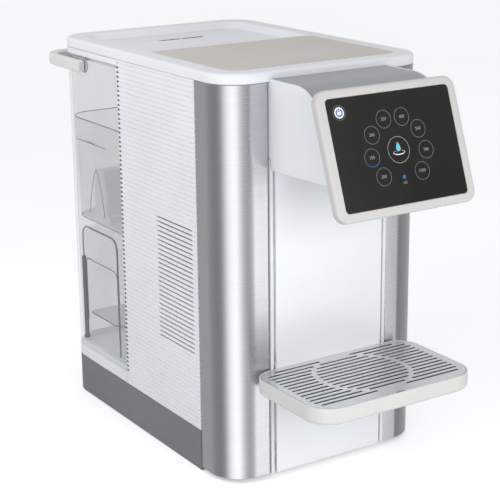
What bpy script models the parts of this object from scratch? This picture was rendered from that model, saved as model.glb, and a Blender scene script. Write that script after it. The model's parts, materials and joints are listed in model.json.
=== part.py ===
"""Countertop water dispenser, built as separate pieces in one frame.

Run with: blender --background --python part.py

Metres, +Z up, +X to the user's right, the user standing at -Y.  While it is being built the
machine's own frame has y = 0 at the face of the steel panels and z = 0 just below their lower
edge; the last step moves everything so that the origin is on the counter, in the middle of
the footprint.
"""
import math

import bmesh
import bpy
from mathutils import Matrix, Vector

# ---------------------------------------------------------------- driving dimensions
GAP = 0.0003                    # clearance kept between neighbouring pieces
CORNER_STEPS = 6                # facets of an ordinary plan corner

BODY_HALF = 0.105               # half of the body's width
BODY_DEPTH = 0.304
BODY_TOP = 0.3566
FRONT_RADIUS = 0.030            # plan corner of the steel panels
BACK_RADIUS = 0.028
COUNTER = -0.0034               # the surface the machine stands on
SKIN_FLOOR = 0.0006             # lower edge of the steel and of the front panel
COVER_FLOOR = 0.3478            # underside of the top cover
SKIN_TOP = COVER_FLOOR - GAP

CHANNEL_HALF = 0.0615           # half of the front channel between the steel panels
SIDE_SEAM = 0.0457              # where the steel ends on the side
BAY_FRONT = 0.183               # where the side panels end and the tank begins
PLINTH_FLOOR = -0.0030
PLINTH_TOP = 0.0352
PLATE_FLOOR = -0.0010           # bottom plate
PLATE_TOP = 0.0017
DECK_TOP = 0.0465
WALL_LOW = PLINTH_TOP + GAP

RIB_PITCH = 0.00428
RIB_FIRST = 0.0368
RIB_DEPTH = 0.0005
RIB_HALF = 0.00042
PANEL_THICKNESS = 0.0024
VENT_COUNT = 27
VENT_FIRST_RIB = 16
VENT_FRONT = 0.0545
VENT_BACK = 0.1162
VENT_HALF = 0.0008

STRIP_INNER = 0.0583            # white edge strips of the front channel
PANEL_HALF = 0.0562             # white front panel between them
PANEL_FACE = -0.0020
CHANNEL_FLOOR = 0.0020
HEAD_UNDERSIDE = 0.2747
HEAD_JOIN = 0.2840              # the head plugs into the channel above this height

HEAD_HALF = CHANNEL_HALF - GAP
HEAD_TOP = 0.3505
NOSE_RADIUS = 0.042
NOSE_CENTRE = (-0.0375, 0.3085)     # (y, z) of the rounded nose

DISPLAY_TILT = math.radians(19.75)
DISPLAY_CENTRE = (0.0, -0.0931, 0.3024)
DISPLAY_SIZE = (0.0611, 0.0450)     # half sizes of the black glass
BEZEL_SIZE = (0.0697, 0.0525)       # half sizes of the white frame
BEZEL_RADIUS = 0.0105
BEZEL_DEPTH = 0.0080

TRAY_HALF = 0.0832
TRAY_FRONT = -0.1054
TRAY_BACK = PANEL_FACE - GAP
TRAY_TOP = 0.0987
TRAY_FLOOR = 0.0840
TRAY_FRONT_RADIUS = 0.024
TRAY_BACK_RADIUS = 0.019
TRAY_DROP = 0.0825              # the second, lower set of hook slots
SLOT_HEIGHTS = (0.0881, 0.1011)
SLOT_HEIGHT = 0.0101

GRILLE_SLOTS = 14
GRILLE_PITCH = 0.00625
GRILLE_FIRST = -0.0096
GRILLE_SLOT_HALF = 0.0013
GRILLE_RING = (0.0395, 0.0435)  # inner and outer radius of the plain ring
GRILLE_CENTRE = -0.050

INSET_HALF = 0.0875             # beige panel and basin in the top cover
INSET_FRONT = 0.0172
INSET_BACK = 0.1525
BASIN_FRONT = 0.1555
BASIN_BACK = 0.2880
BASIN_FLOOR = 0.3505
FLAP_HALF = 0.070
FLAP_FRONT = 0.2470
FLAP_AXIS = (0.2785, 0.3492)    # (y, z) of the flap's hinge

TANK_HALF = 0.1044
TANK_FRONT = 0.1836
TANK_BACK = 0.3034
TANK_FLOOR = 0.0470
TANK_TOP = 0.3419
TANK_WALL = 0.0026
OUTLET_HEIGHT = 0.070

HANDLE_AXIS = (0.2475, 0.33395)     # (y, z) of the handle's pivots
HANDLE_END = 0.2425
HANDLE_OUTER = (0.1134, 0.3262, 0.026)  # half width, back face, corner radius
HANDLE_INNER = (0.1070, 0.3132, 0.018)
HANDLE_HEIGHT = 0.0107

FAN_AXIS = (0.085, 0.160)       # (y, z) of the cooling fan
HOSE_RADIUS = 0.0035
FOOT_PLACES = ((-0.078, 0.034), (0.078, 0.034), (-0.078, 0.270), (0.078, 0.270))

# the foremost point is the lower edge of the display frame, the rearmost the handle's bar
MACHINE_FRONT = -0.1101
MACHINE_BACK = HANDLE_OUTER[1]
CENTRE_SHIFT = -(MACHINE_FRONT + MACHINE_BACK) / 2

# name: (colour, roughness, metallic)
FINISHES = {
    "white_plastic": ((0.83, 0.84, 0.86), 0.45, 0.0),
    "warm_white_plastic": ((0.76, 0.74, 0.72), 0.40, 0.0),
    "pale_grey_plastic": ((0.62, 0.64, 0.66), 0.40, 0.0),
    "steel": ((0.60, 0.60, 0.62), 0.30, 1.0),
    "satin_grey": ((0.36, 0.37, 0.38), 0.42, 0.6),
    "plinth_grey": ((0.22, 0.23, 0.24), 0.50, 0.2),
    "beige_mat": ((0.57, 0.53, 0.50), 0.60, 0.0),
    "clear_plastic": ((0.72, 0.76, 0.79), 0.10, 0.0),
    "black_glass": ((0.02, 0.02, 0.02), 0.08, 0.0),
    "dark_plastic": ((0.05, 0.05, 0.055), 0.50, 0.0),
    "rubber": ((0.04, 0.04, 0.04), 0.85, 0.0),
    "silicone": ((0.70, 0.71, 0.70), 0.55, 0.0),
    "aluminium": ((0.70, 0.71, 0.72), 0.35, 1.0),
    "circuit_board": ((0.03, 0.17, 0.08), 0.50, 0.0),
    "brass": ((0.72, 0.52, 0.22), 0.35, 1.0),
    "filter_white": ((0.78, 0.82, 0.86), 0.35, 0.0),
}


# ---------------------------------------------------------------- materials and objects
def finish(name):
    """The named material, made the first time it is asked for."""
    found = bpy.data.materials.get(name)
    if found:
        return found
    colour, roughness, metallic = FINISHES[name]
    made = bpy.data.materials.new(name)
    made.use_nodes = True
    made.diffuse_color = (*colour, 1.0)
    shader = made.node_tree.nodes["Principled BSDF"]
    shader.inputs["Base Color"].default_value = (*colour, 1.0)
    shader.inputs["Roughness"].default_value = roughness
    shader.inputs["Metallic"].default_value = metallic
    return made


def clear_scene():
    for item in list(bpy.data.objects):
        bpy.data.objects.remove(item, do_unlink=True)


def add_mesh(name, shape, finish_name=None):
    """An object from a bmesh; one with no finish is a cutter and stays out of sight."""
    bmesh.ops.recalc_face_normals(shape, faces=shape.faces)
    mesh = bpy.data.meshes.new(name)
    shape.to_mesh(mesh)
    shape.free()
    item = bpy.data.objects.new(name, mesh)
    bpy.context.scene.collection.objects.link(item)
    if finish_name:
        mesh.materials.append(finish(finish_name))
        mesh.shade_smooth()
        mesh.set_sharp_from_angle(angle=math.radians(35))
    else:
        item.hide_render = True
        item.display_type = "WIRE"
    return item


def set_origin(item, point):
    """Moves an object's origin to a point of its joint's axis."""
    item.data.transform(Matrix.Translation(-Vector(point)))
    item.location = point


def combine(target, tool, operation):
    modifier = target.modifiers.new(tool.name, "BOOLEAN")
    modifier.operation = operation
    modifier.object = tool
    modifier.solver = "EXACT"


def cut(target, *tools):
    for tool in tools:
        combine(target, tool, "DIFFERENCE")


def fuse(target, *tools):
    for tool in tools:
        combine(target, tool, "UNION")


# ---------------------------------------------------------------- outlines
def arc(centre, radius, start, end, steps=CORNER_STEPS):
    """Points along an arc, both ends included; angles in degrees."""
    points = []
    for i in range(steps + 1):
        angle = math.radians(start + (end - start) * i / steps)
        points.append((centre[0] + radius * math.cos(angle), centre[1] + radius * math.sin(angle)))
    return points


def rounded(half, front, back, front_radius, back_radius, inset=0.0, steps=CORNER_STEPS):
    """Plan outline with rounded corners, symmetric about x = 0, moved inwards by inset."""
    half, front, back = half - inset, front + inset, back - inset
    near = max(front_radius - inset, 0.0008)
    far = max(back_radius - inset, 0.0008)
    return (arc((half - near, front + near), near, 270, 360, steps)
            + arc((half - far, back - far), far, 0, 90, steps)
            + arc((-half + far, back - far), far, 90, 180, steps)
            + arc((-half + near, front + near), near, 180, 270, steps))


def body_outline(inset=0.0):
    return rounded(BODY_HALF, 0.0, BODY_DEPTH, FRONT_RADIUS, BACK_RADIUS, inset, 10)


def steel_path(inset):
    """From the front channel round the left corner to the side seam."""
    centre = (FRONT_RADIUS - BODY_HALF, FRONT_RADIUS)
    return ([(-CHANNEL_HALF, inset)] + arc(centre, FRONT_RADIUS - inset, 270, 180, 10)
            + [(inset - BODY_HALF, SIDE_SEAM)])


def back_path(start, inset):
    """From a point on the left side round the back to the same point on the right."""
    radius = BACK_RADIUS - inset
    centre_x, centre_y = BODY_HALF - BACK_RADIUS, BODY_DEPTH - BACK_RADIUS
    return ([(inset - BODY_HALF, start)] + arc((-centre_x, centre_y), radius, 180, 90, 10)
            + arc((centre_x, centre_y), radius, 90, 0, 10) + [(BODY_HALF - inset, start)])


def ribbed_profile(low, high):
    """(depth, height) outline of a wall whose outer face has a V groove at every rib."""
    points = [(0.0, low)]
    for i in range(80):
        height = RIB_FIRST + i * RIB_PITCH
        if low + 0.001 < height < high - 0.001:
            points += [(0.0, height - RIB_HALF), (RIB_DEPTH, height), (0.0, height + RIB_HALF)]
    return points + [(0.0, high), (PANEL_THICKNESS, high), (PANEL_THICKNESS, low)]


# ---------------------------------------------------------------- solids
def skin(name, rings, finish_name=None, closed=False):
    """A solid skinned over rings of equal length, capped unless the rings close up."""
    shape = bmesh.new()
    loops = [[shape.verts.new(point) for point in ring] for ring in rings]
    pairs = list(zip(loops, loops[1:]))
    if closed:
        pairs.append((loops[-1], loops[0]))
    else:
        shape.faces.new(loops[0])
        shape.faces.new(loops[-1])
    for lower, upper in pairs:
        for i, vert in enumerate(lower):
            j = (i + 1) % len(lower)
            shape.faces.new((vert, lower[j], upper[j], upper[i]))
    return add_mesh(name, shape, finish_name)


def along(axis, a, b, height):
    """The point of an outline drawn across an axis, at a height along that axis."""
    return {"X": (height, a, b), "Y": (a, height, b), "Z": (a, b, height)}[axis]


def prism(name, outline, axis, low, high, finish_name=None):
    """An outline extruded along an axis; it is drawn in (y, z), (x, z) or (x, y)."""
    rings = [[along(axis, a, b, height) for a, b in outline] for height in (low, high)]
    return skin(name, rings, finish_name)


def box(name, low, high, finish_name=None):
    outline = ((low[0], low[1]), (high[0], low[1]), (high[0], high[1]), (low[0], high[1]))
    return prism(name, outline, "Z", low[2], high[2], finish_name)


def stack(name, levels, outline_at, finish_name=None):
    """A solid over plan outlines; each level is (height, inset)."""
    rings = [[(x, y, height) for x, y in outline_at(inset)] for height, inset in levels]
    return skin(name, rings, finish_name)


def turned(name, profile, axis, centre, finish_name=None, steps=16, hollow=False):
    """A turned solid; the profile is (distance along the axis, radius)."""
    rings = []
    for height, radius in profile:
        circle = arc(centre, radius, 0, 360, steps)[:-1]
        rings.append([along(axis, a, b, height) for a, b in circle])
    return skin(name, rings, finish_name, closed=hollow)


def wall(name, path_at, profile, finish_name):
    """A wall along an open path; the profile is (depth behind the path, height)."""
    paths = [path_at(depth) for depth, height in profile]
    rings = []
    for station in zip(*paths):
        rings.append([(x, y, height) for (x, y), (depth, height) in zip(station, profile)])
    return skin(name, rings, finish_name)


def slots(name, places, finish_name=None):
    """Several boxes in one cutter; each place is (low corner, high corner)."""
    shape = bmesh.new()
    for low, high in places:
        outline = ((low[0], low[1]), (high[0], low[1]), (high[0], high[1]), (low[0], high[1]))
        corners = [shape.verts.new((x, y, z)) for z in (low[2], high[2]) for x, y in outline]
        shape.faces.new(corners[:4])
        shape.faces.new(corners[4:])
        for i in range(4):
            j = (i + 1) % 4
            shape.faces.new((corners[i], corners[j], corners[j + 4], corners[i + 4]))
    return add_mesh(name, shape, finish_name)


def smooth_route(points, per_stretch):
    """Catmull-Rom points through a hand-laid route."""
    ends = [Vector(points[0]) * 2 - Vector(points[1])] + [Vector(point) for point in points]
    ends.append(Vector(points[-1]) * 2 - Vector(points[-2]))
    route = []
    for i in range(1, len(ends) - 2):
        before, start, end, after = ends[i - 1:i + 3]
        for step in range(per_stretch):
            t = step / per_stretch
            route.append(0.5 * (2 * start + (end - before) * t
                                + (2 * before - 5 * start + 4 * end - after) * t ** 2
                                + (3 * start - before - 3 * end + after) * t ** 3))
    return route + [Vector(points[-1])]


def hose(name, points):
    """A silicone hose: a round tube along a smooth route, with filled ends."""
    curve = bpy.data.curves.new(name, "CURVE")
    curve.dimensions = "3D"
    route = smooth_route(points, 3)
    spline = curve.splines.new("POLY")
    spline.points.add(len(route) - 1)
    for place, point in zip(spline.points, route):
        place.co = (*point, 1.0)
    curve.bevel_depth = HOSE_RADIUS
    curve.bevel_resolution = 2
    curve.use_fill_caps = True
    curve.materials.append(finish("silicone"))
    item = bpy.data.objects.new(name, curve)
    bpy.context.scene.collection.objects.link(item)


# ---------------------------------------------------------------- outer body
def mirrored(path_at):
    """The same path on the right-hand side."""
    return lambda inset: [(-x, y) for x, y in path_at(inset)]


def steel_panels():
    profile = [(0.0, SKIN_FLOOR), (0.0, SKIN_TOP), (0.0012, SKIN_TOP), (0.0012, SKIN_FLOOR)]
    wall("steel_panel_left", steel_path, profile, "steel")
    wall("steel_panel_right", mirrored(steel_path), profile, "steel")


def side_panels():
    profile = ribbed_profile(WALL_LOW, SKIN_TOP)
    for name, side in (("side_panel_left", -1), ("side_panel_right", 1)):
        outline = [(side * (BODY_HALF - depth), height) for depth, height in profile]
        panel = prism(name, outline, "Y", SIDE_SEAM + GAP, BAY_FRONT - GAP, "white_plastic")
        places = []
        for i in range(VENT_COUNT):
            height = RIB_FIRST + (VENT_FIRST_RIB + i) * RIB_PITCH
            left, right = sorted((side * (BODY_HALF - 0.004), side * (BODY_HALF + 0.001)))
            places.append(((left, VENT_FRONT, height - VENT_HALF),
                           (right, VENT_BACK, height + VENT_HALF)))
        cut(panel, slots(name + "_vents", places))


def rear_skirt():
    wall("rear_skirt", lambda inset: back_path(BAY_FRONT + GAP, inset),
         ribbed_profile(WALL_LOW, DECK_TOP), "white_plastic")


def base_plinth():
    profile = [(0.0, PLINTH_FLOOR), (0.0, PLINTH_TOP), (0.003, PLINTH_TOP), (0.003, PLINTH_FLOOR)]
    plinth = wall("base_plinth", lambda inset: back_path(SIDE_SEAM + GAP, inset), profile, "plinth_grey")
    cut(plinth, box("inlet_window", (0.0538, 0.290, 0.0073), (0.0822, 0.310, 0.0287)))


def bottom_plate():
    def outline(inset):
        return rounded(0.1016, 0.0048, 0.3006, 0.026, 0.0246, inset, CORNER_STEPS)
    plate = stack("bottom_plate", [(PLATE_FLOOR, 0.0), (PLATE_TOP, 0.0)], outline, "plinth_grey")
    for i, place in enumerate(FOOT_PLACES):
        profile = [(-0.005, 0.0038), (0.005, 0.0038)]
        cut(plate, turned(f"plate_hole_{i + 1}", profile, "Z", place, steps=12))


def feet():
    pad_top = PLATE_FLOOR - GAP
    bulb = PLATE_TOP + GAP
    profile = [(COUNTER, 0.0082), (COUNTER + 0.0005, 0.0090), (pad_top, 0.0090), (pad_top, 0.0034),
               (bulb, 0.0034), (bulb, 0.0046), (bulb + 0.0024, 0.0030)]
    for i, place in enumerate(FOOT_PLACES):
        turned(f"foot_{i + 1}", profile, "Z", place, "rubber", 14)


def front_frame():
    """Backing plate with the two white edge strips and the slots for the tray's hooks."""
    edge, back = HEAD_HALF, 0.0045
    outline = [(-edge, -0.0010), (-STRIP_INNER, -0.0010), (-STRIP_INNER, CHANNEL_FLOOR),
               (STRIP_INNER, CHANNEL_FLOOR), (STRIP_INNER, -0.0010), (edge, -0.0010),
               (edge, back), (-edge, back)]
    frame = prism("front_frame", outline, "Z", SKIN_FLOOR, SKIN_TOP, "white_plastic")
    head_bay = box("head_bay", (-0.07, -0.01, HEAD_JOIN - GAP), (0.07, CHANNEL_FLOOR, 0.36))
    window = box("hose_window", (-0.012, -0.01, 0.290), (0.012, 0.01, 0.338))
    centre = (PANEL_HALF + STRIP_INNER) / 2
    places = []
    for side in (-1, 1):
        for drop in (0.0, TRAY_DROP):
            for height in SLOT_HEIGHTS:
                low = height - drop
                places.append(((side * centre - 0.0010, -0.01, low),
                               (side * centre + 0.0010, 0.01, low + SLOT_HEIGHT)))
    cut(frame, head_bay, window, slots("hook_slots", places))


def front_panel():
    panel = box("front_panel", (-PANEL_HALF, PANEL_FACE, SKIN_FLOOR),
                (PANEL_HALF, CHANNEL_FLOOR - GAP, HEAD_JOIN - GAP), "white_plastic")
    edges = panel.modifiers.new("edges", "BEVEL")
    edges.width = 0.0006
    edges.segments = 2


# ---------------------------------------------------------------- dispensing head
def plane_y(offset, height):
    """y of the plane parallel to the display, offset behind its face, at a height."""
    normal_y, normal_z = -math.cos(DISPLAY_TILT), math.sin(DISPLAY_TILT)
    face = DISPLAY_CENTRE[1] * normal_y + DISPLAY_CENTRE[2] * normal_z - offset
    return (face - height * normal_z) / normal_y


def head_top_curve(inset, rear):
    """(y, z) points of the head's top, from the rear over the nose to the display's plane."""
    end = 180 - math.degrees(DISPLAY_TILT)
    return [(rear, HEAD_TOP - inset)] + arc(NOSE_CENTRE, NOSE_RADIUS - inset, 90, end, 10)


def head_shell():
    offset = BEZEL_DEPTH + GAP
    front_low = 0.2768
    outline = head_top_curve(0.0, -GAP)
    outline += [(plane_y(offset, front_low + 0.003), front_low + 0.003),
                (plane_y(offset, front_low) + 0.003, front_low),
                (-0.0087, HEAD_UNDERSIDE)]
    outline += arc((-0.0063, 0.2787), 0.0040, 270, 360, 4)
    outline += [(PANEL_FACE - GAP, HEAD_JOIN), (CHANNEL_FLOOR - GAP, HEAD_JOIN),
                (CHANNEL_FLOOR - GAP, SKIN_TOP), (-GAP, SKIN_TOP)]
    head = prism("head_shell", outline, "X", -HEAD_HALF, HEAD_HALF, "white_plastic")

    low = 0.3160
    pocket = head_top_curve(0.0016, 0.020)
    pocket += [(plane_y(offset + 0.0016, low), low), (-0.13, low), (-0.13, 0.39), (0.020, 0.39)]
    sheet_pocket = prism("sheet_pocket", pocket, "X", -0.0592, 0.0592)

    wall_depth = 0.0030
    cavity = head_top_curve(0.0046, 0.020)
    cavity += [(plane_y(offset + wall_depth, 0.2800), 0.2800), (-0.006, 0.2800),
               (-0.006, HEAD_JOIN + 0.0035), (0.020, HEAD_JOIN + 0.0035)]
    hollow = prism("head_hollow", cavity, "X", -0.0567, 0.0567)
    nozzle_hole = turned("nozzle_hole", [(0.265, 0.0124), (0.283, 0.0124)], "Z", (0.0, -0.048), steps=20)
    cable_hole = box("cable_hole", (-0.020, -0.120, 0.295), (0.020, -0.060, 0.308))
    cut(head, sheet_pocket, hollow, nozzle_hole, cable_hole)


def head_top_sheet():
    """Satin grey sheet laid between the head's cheeks, over the top and the nose."""
    offset = BEZEL_DEPTH + GAP
    low = 0.3164
    outer = head_top_curve(0.0001, -GAP) + [(plane_y(offset + 0.0001, low), low)]
    inner = head_top_curve(0.0013, -GAP) + [(plane_y(offset + 0.0013, low), low)]
    prism("head_top_sheet", outer + inner[::-1], "X", -0.0589, 0.0589, "satin_grey")


def outlet_nozzle():
    profile = [(0.2632, 0.0042), (0.2632, 0.0078), (0.2660, 0.0098), (0.2690, 0.0121), (0.2803, 0.0121),
               (0.2803, 0.0150), (0.2825, 0.0150), (0.2825, 0.0060), (0.2925, 0.0052), (0.2925, 0.0042)]
    turned("outlet_nozzle", profile, "Z", (0.0, -0.048), "satin_grey", 16, hollow=True)


def place_on_display(item):
    """Local X is the display's width, local Y runs up its face and local Z out of it."""
    item.rotation_euler = (math.radians(90) - DISPLAY_TILT, 0.0, 0.0)
    item.location = DISPLAY_CENTRE


def screen_outline(size, radius, inset=0.0):
    return rounded(size[0], -size[1], size[1], radius, radius, inset)


def display_bezel():
    """White frame: rounded front edge, a pocket for the glass and an open middle."""
    levels = [(BEZEL_SIZE, BEZEL_RADIUS, 0.0014, -BEZEL_DEPTH),
              (BEZEL_SIZE, BEZEL_RADIUS, 0.0, -BEZEL_DEPTH + 0.0014),
              (BEZEL_SIZE, BEZEL_RADIUS, 0.0, -0.0026), (BEZEL_SIZE, BEZEL_RADIUS, 0.00035, -0.0013),
              (BEZEL_SIZE, BEZEL_RADIUS, 0.0013, -0.00035), (BEZEL_SIZE, BEZEL_RADIUS, 0.0026, 0.0),
              (DISPLAY_SIZE, 0.0034, -GAP, 0.0), (DISPLAY_SIZE, 0.0034, -GAP, -0.0019),
              (DISPLAY_SIZE, 0.0034, 0.0050, -0.0019), (DISPLAY_SIZE, 0.0034, 0.0050, -BEZEL_DEPTH)]
    rings = []
    for size, radius, inset, depth in levels:
        rings.append([(x, y, depth) for x, y in screen_outline(size, radius, inset)])
    place_on_display(skin("display_bezel", rings, "warm_white_plastic", closed=True))


def display_glass():
    outline = screen_outline(DISPLAY_SIZE, 0.0034)
    place_on_display(prism("display_glass", outline, "Z", -0.0016, -0.0002, "black_glass"))


def touch_board():
    board = box("touch_board", (-0.054, -0.038, -0.0038), (0.054, 0.038, -0.0022), "circuit_board")
    place_on_display(board)


# ---------------------------------------------------------------- top
def basin_outline(inset):
    return rounded(INSET_HALF, BASIN_FRONT, BASIN_BACK, 0.012, 0.020, inset)


def top_cover():
    levels = [(COVER_FLOOR, 0.0), (BODY_TOP - 0.0020, 0.0), (BODY_TOP - 0.0006, 0.0006),
              (BODY_TOP, 0.0020)]
    cover = stack("top_cover", levels, body_outline, "white_plastic")
    slope = 0.0065
    rise = BODY_TOP - BASIN_FLOOR
    basin = stack("basin", [(BASIN_FLOOR, slope), (BODY_TOP + rise, -slope)], basin_outline)
    inset_pocket = stack("inset_pocket", [(BODY_TOP - 0.0015, 0.0), (BODY_TOP + 0.002, 0.0)],
                         lambda inset: rounded(INSET_HALF, INSET_FRONT, INSET_BACK, 0.014, 0.006, inset))
    underside = box("cover_underside", (-0.094, 0.010, 0.340), (0.094, 0.146, BODY_TOP - 0.0040))
    opening = box("flap_opening", (-FLAP_HALF - 0.0004, FLAP_FRONT - 0.0004, 0.340),
                  (FLAP_HALF + 0.0004, FLAP_AXIS[0] + 0.0017, 0.360))
    finger_slot = box("finger_slot", (-0.0250, FLAP_FRONT - 0.0042, 0.340),
                      (0.0250, FLAP_FRONT + 0.001, 0.360))
    pin_bore = turned("cover_pin_bore", [(-FLAP_HALF - 0.0048, 0.0009), (FLAP_HALF + 0.0048, 0.0009)],
                      "X", FLAP_AXIS, steps=8)
    cut(cover, basin, inset_pocket, underside, opening, finger_slot, pin_bore)


def top_inset():
    outline = rounded(INSET_HALF, INSET_FRONT, INSET_BACK, 0.014, 0.006, GAP)
    prism("top_inset", outline, "Z", BODY_TOP - 0.0012, BODY_TOP, "beige_mat")


def fill_flap():
    """Flap over the tank's fill opening; its rear edge is round about the hinge pin."""
    half_thickness = 0.0013
    outline = [(FLAP_FRONT, FLAP_AXIS[1] - half_thickness), (FLAP_FRONT, FLAP_AXIS[1] + half_thickness)]
    outline += arc(FLAP_AXIS, half_thickness, 90, -90, 8)
    flap = prism("fill_flap", outline, "X", -FLAP_HALF, FLAP_HALF, "pale_grey_plastic")
    nub = box("flap_nub", (-0.0012, FLAP_FRONT - 0.0038, FLAP_AXIS[1] - 0.0009),
              (0.0012, FLAP_FRONT + 0.002, FLAP_AXIS[1] + 0.0009))
    fuse(flap, nub)
    cut(flap, turned("flap_pin_bore", [(-0.08, 0.0009), (0.08, 0.0009)], "X", FLAP_AXIS, steps=8))
    set_origin(flap, (0.0, *FLAP_AXIS))


def flap_hinge_pin():
    reach = FLAP_HALF + 0.0045
    turned("flap_hinge_pin", [(-reach, 0.0006), (reach, 0.0006)], "X", FLAP_AXIS, "aluminium", 8)


# ---------------------------------------------------------------- inner frame and works
def bay_wall():
    """Partition between the works and the tank bay, with the tank's docking hole."""
    low, high = (-0.1017, 0.1780, PLATE_TOP + GAP), (0.1017, 0.1810, SKIN_TOP)
    partition = box("bay_wall", low, high, "white_plastic")
    profile = [(0.170, 0.0088), (0.190, 0.0088)]
    cut(partition, turned("dock_hole", profile, "Y", (0.0, OUTLET_HEIGHT), steps=20))


def tank_deck():
    outline = rounded(0.1022, 0.1813, 0.3012, 0.001, 0.0252)
    prism("tank_deck", outline, "Z", DECK_TOP - 0.0030, DECK_TOP, "white_plastic")


def docking_port():
    profile = [(0.1700, 0.0085), (0.1748, 0.0085), (0.1748, 0.0130), (0.1777, 0.0130), (0.1777, 0.0085),
               (0.1826, 0.0085), (0.1826, 0.0040), (0.1600, 0.0040), (0.1600, 0.0055), (0.1700, 0.0055)]
    turned("docking_port", profile, "Y", (0.0, OUTLET_HEIGHT), "dark_plastic", 16, hollow=True)


def water_pump():
    profile = [(-0.036, 0.0150), (0.006, 0.0150), (0.006, 0.0185), (0.030, 0.0185), (0.034, 0.0160)]
    turned("water_pump", profile, "X", (0.130, 0.0420), "dark_plastic", 16)


def pump_bracket():
    """Saddle that carries the pump on the bottom plate."""
    low = PLATE_TOP + GAP
    outline = [(0.110, low), (0.150, low), (0.150, 0.0380)]
    outline += arc((0.130, 0.0420), 0.0153, -15, -165, 8)
    outline += [(0.110, 0.0380)]
    prism("pump_bracket", outline, "X", -0.028, -0.002, "aluminium")


def water_heater():
    profile = [(0.120, 0.0050), (0.130, 0.0050), (0.130, 0.0200), (0.250, 0.0200), (0.250, 0.0050),
               (0.262, 0.0050)]
    turned("water_heater", profile, "Z", (0.040, 0.060), "aluminium", 16)


def heater_clamps():
    for i, height in enumerate((0.148, 0.222)):
        low, high = (0.020, 0.0048, height), (0.060, 0.058, height + 0.010)
        clamp = box(f"heater_clamp_{i + 1}", low, high, "steel")
        cut(clamp, turned(f"clamp_bore_{i + 1}", [(height - 0.01, 0.0203), (height + 0.02, 0.0203)],
                          "Z", (0.040, 0.060), steps=20))


def chiller():
    """Chilled tank, thermoelectric plate, heat sink and fan, behind the left vents."""
    y, z = FAN_AXIS
    box("chilled_tank", (-0.054, y - 0.030, z - 0.036), (-0.012, y + 0.030, z + 0.036), "aluminium")
    box("thermoelectric_plate", (-0.0583, y - 0.020, z - 0.020), (-0.0543, y + 0.020, z + 0.020),
        "white_plastic")
    sink = box("heat_sink", (-0.0806, y - 0.030, z - 0.030), (-0.0586, y + 0.030, z + 0.030),
               "aluminium")
    places = []
    for i in range(9):
        centre = y - 0.0256 + i * 0.0064
        places.append(((-0.09, centre - 0.0020, z - 0.05), (-0.0626, centre + 0.0020, z + 0.05)))
    cut(sink, slots("sink_gaps", places))
    housing = box("fan_housing", (-0.1023, y - 0.030, z - 0.030), (-0.0809, y + 0.030, z + 0.030),
                  "dark_plastic")
    cut(housing, turned("fan_bore", [(-0.11, 0.0280), (-0.0840, 0.0280)], "X", FAN_AXIS, steps=24))
    cut(housing, slots("fan_outlets", [((-0.085, y - 0.022, z + 0.003), (-0.08, y + 0.022, z + 0.022)),
                                       ((-0.085, y - 0.022, z - 0.022), (-0.08, y + 0.022, z - 0.003))]))


def fan_rotor():
    """Hub with seven straight pitched blades."""
    y, z = FAN_AXIS
    profile = [(-0.0952, 0.0100), (-0.0944, 0.0108), (-0.0846, 0.0108)]
    rotor = turned("fan_rotor", profile, "X", FAN_AXIS, "dark_plastic")
    shape = bmesh.new()
    for i in range(7):
        turn = Matrix.Rotation(math.tau * i / 7, 4, "X") @ Matrix.Rotation(math.radians(38), 4, "Z")
        made = bmesh.ops.create_cube(shape, size=1.0)
        size = Matrix.Diagonal((0.0010, 0.0090, 0.0172, 1.0))
        shift = Matrix.Translation((0.0, 0.0, 0.0176))
        bmesh.ops.transform(shape, matrix=turn @ shift @ size, verts=made["verts"])
    bmesh.ops.transform(shape, matrix=Matrix.Translation((-0.0897, y, z)), verts=shape.verts)
    fuse(rotor, add_mesh("rotor_blades", shape))
    set_origin(rotor, (-0.0897, y, z))


def electrics():
    box("power_supply", (0.054, 0.118, 0.100), (0.098, 0.1777, 0.200), "aluminium")
    box("control_board", (-0.060, 0.1761, 0.230), (0.060, 0.1777, 0.320), "circuit_board")
    box("valve_block", (-0.026, 0.0048, 0.280), (0.026, 0.030, 0.308), "brass")


def mains_inlet():
    """Appliance inlet at the back of the plinth: a flanged recess with three pins."""
    low_x, high_x = 0.0541, 0.0819
    socket = box("mains_inlet", (low_x, 0.2830, 0.0076), (high_x, 0.3050, 0.0284), "dark_plastic")
    fuse(socket, box("inlet_flange", (low_x - 0.002, 0.3043, 0.0056), (high_x + 0.002, 0.3058, 0.0304)))
    cut(socket, box("inlet_recess", (low_x + 0.002, 0.2890, 0.0100), (high_x - 0.002, 0.3100, 0.0260)))
    middle = (low_x + high_x) / 2
    for i, offset in enumerate((-0.007, 0.0, 0.007)):
        drop = 0.0030 if offset == 0.0 else 0.0
        fuse(socket, box(f"inlet_pin_{i + 1}", (middle + offset - 0.001, 0.2880, 0.0160 - drop),
                         (middle + offset + 0.001, 0.3010, 0.0200 - drop)))


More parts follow.
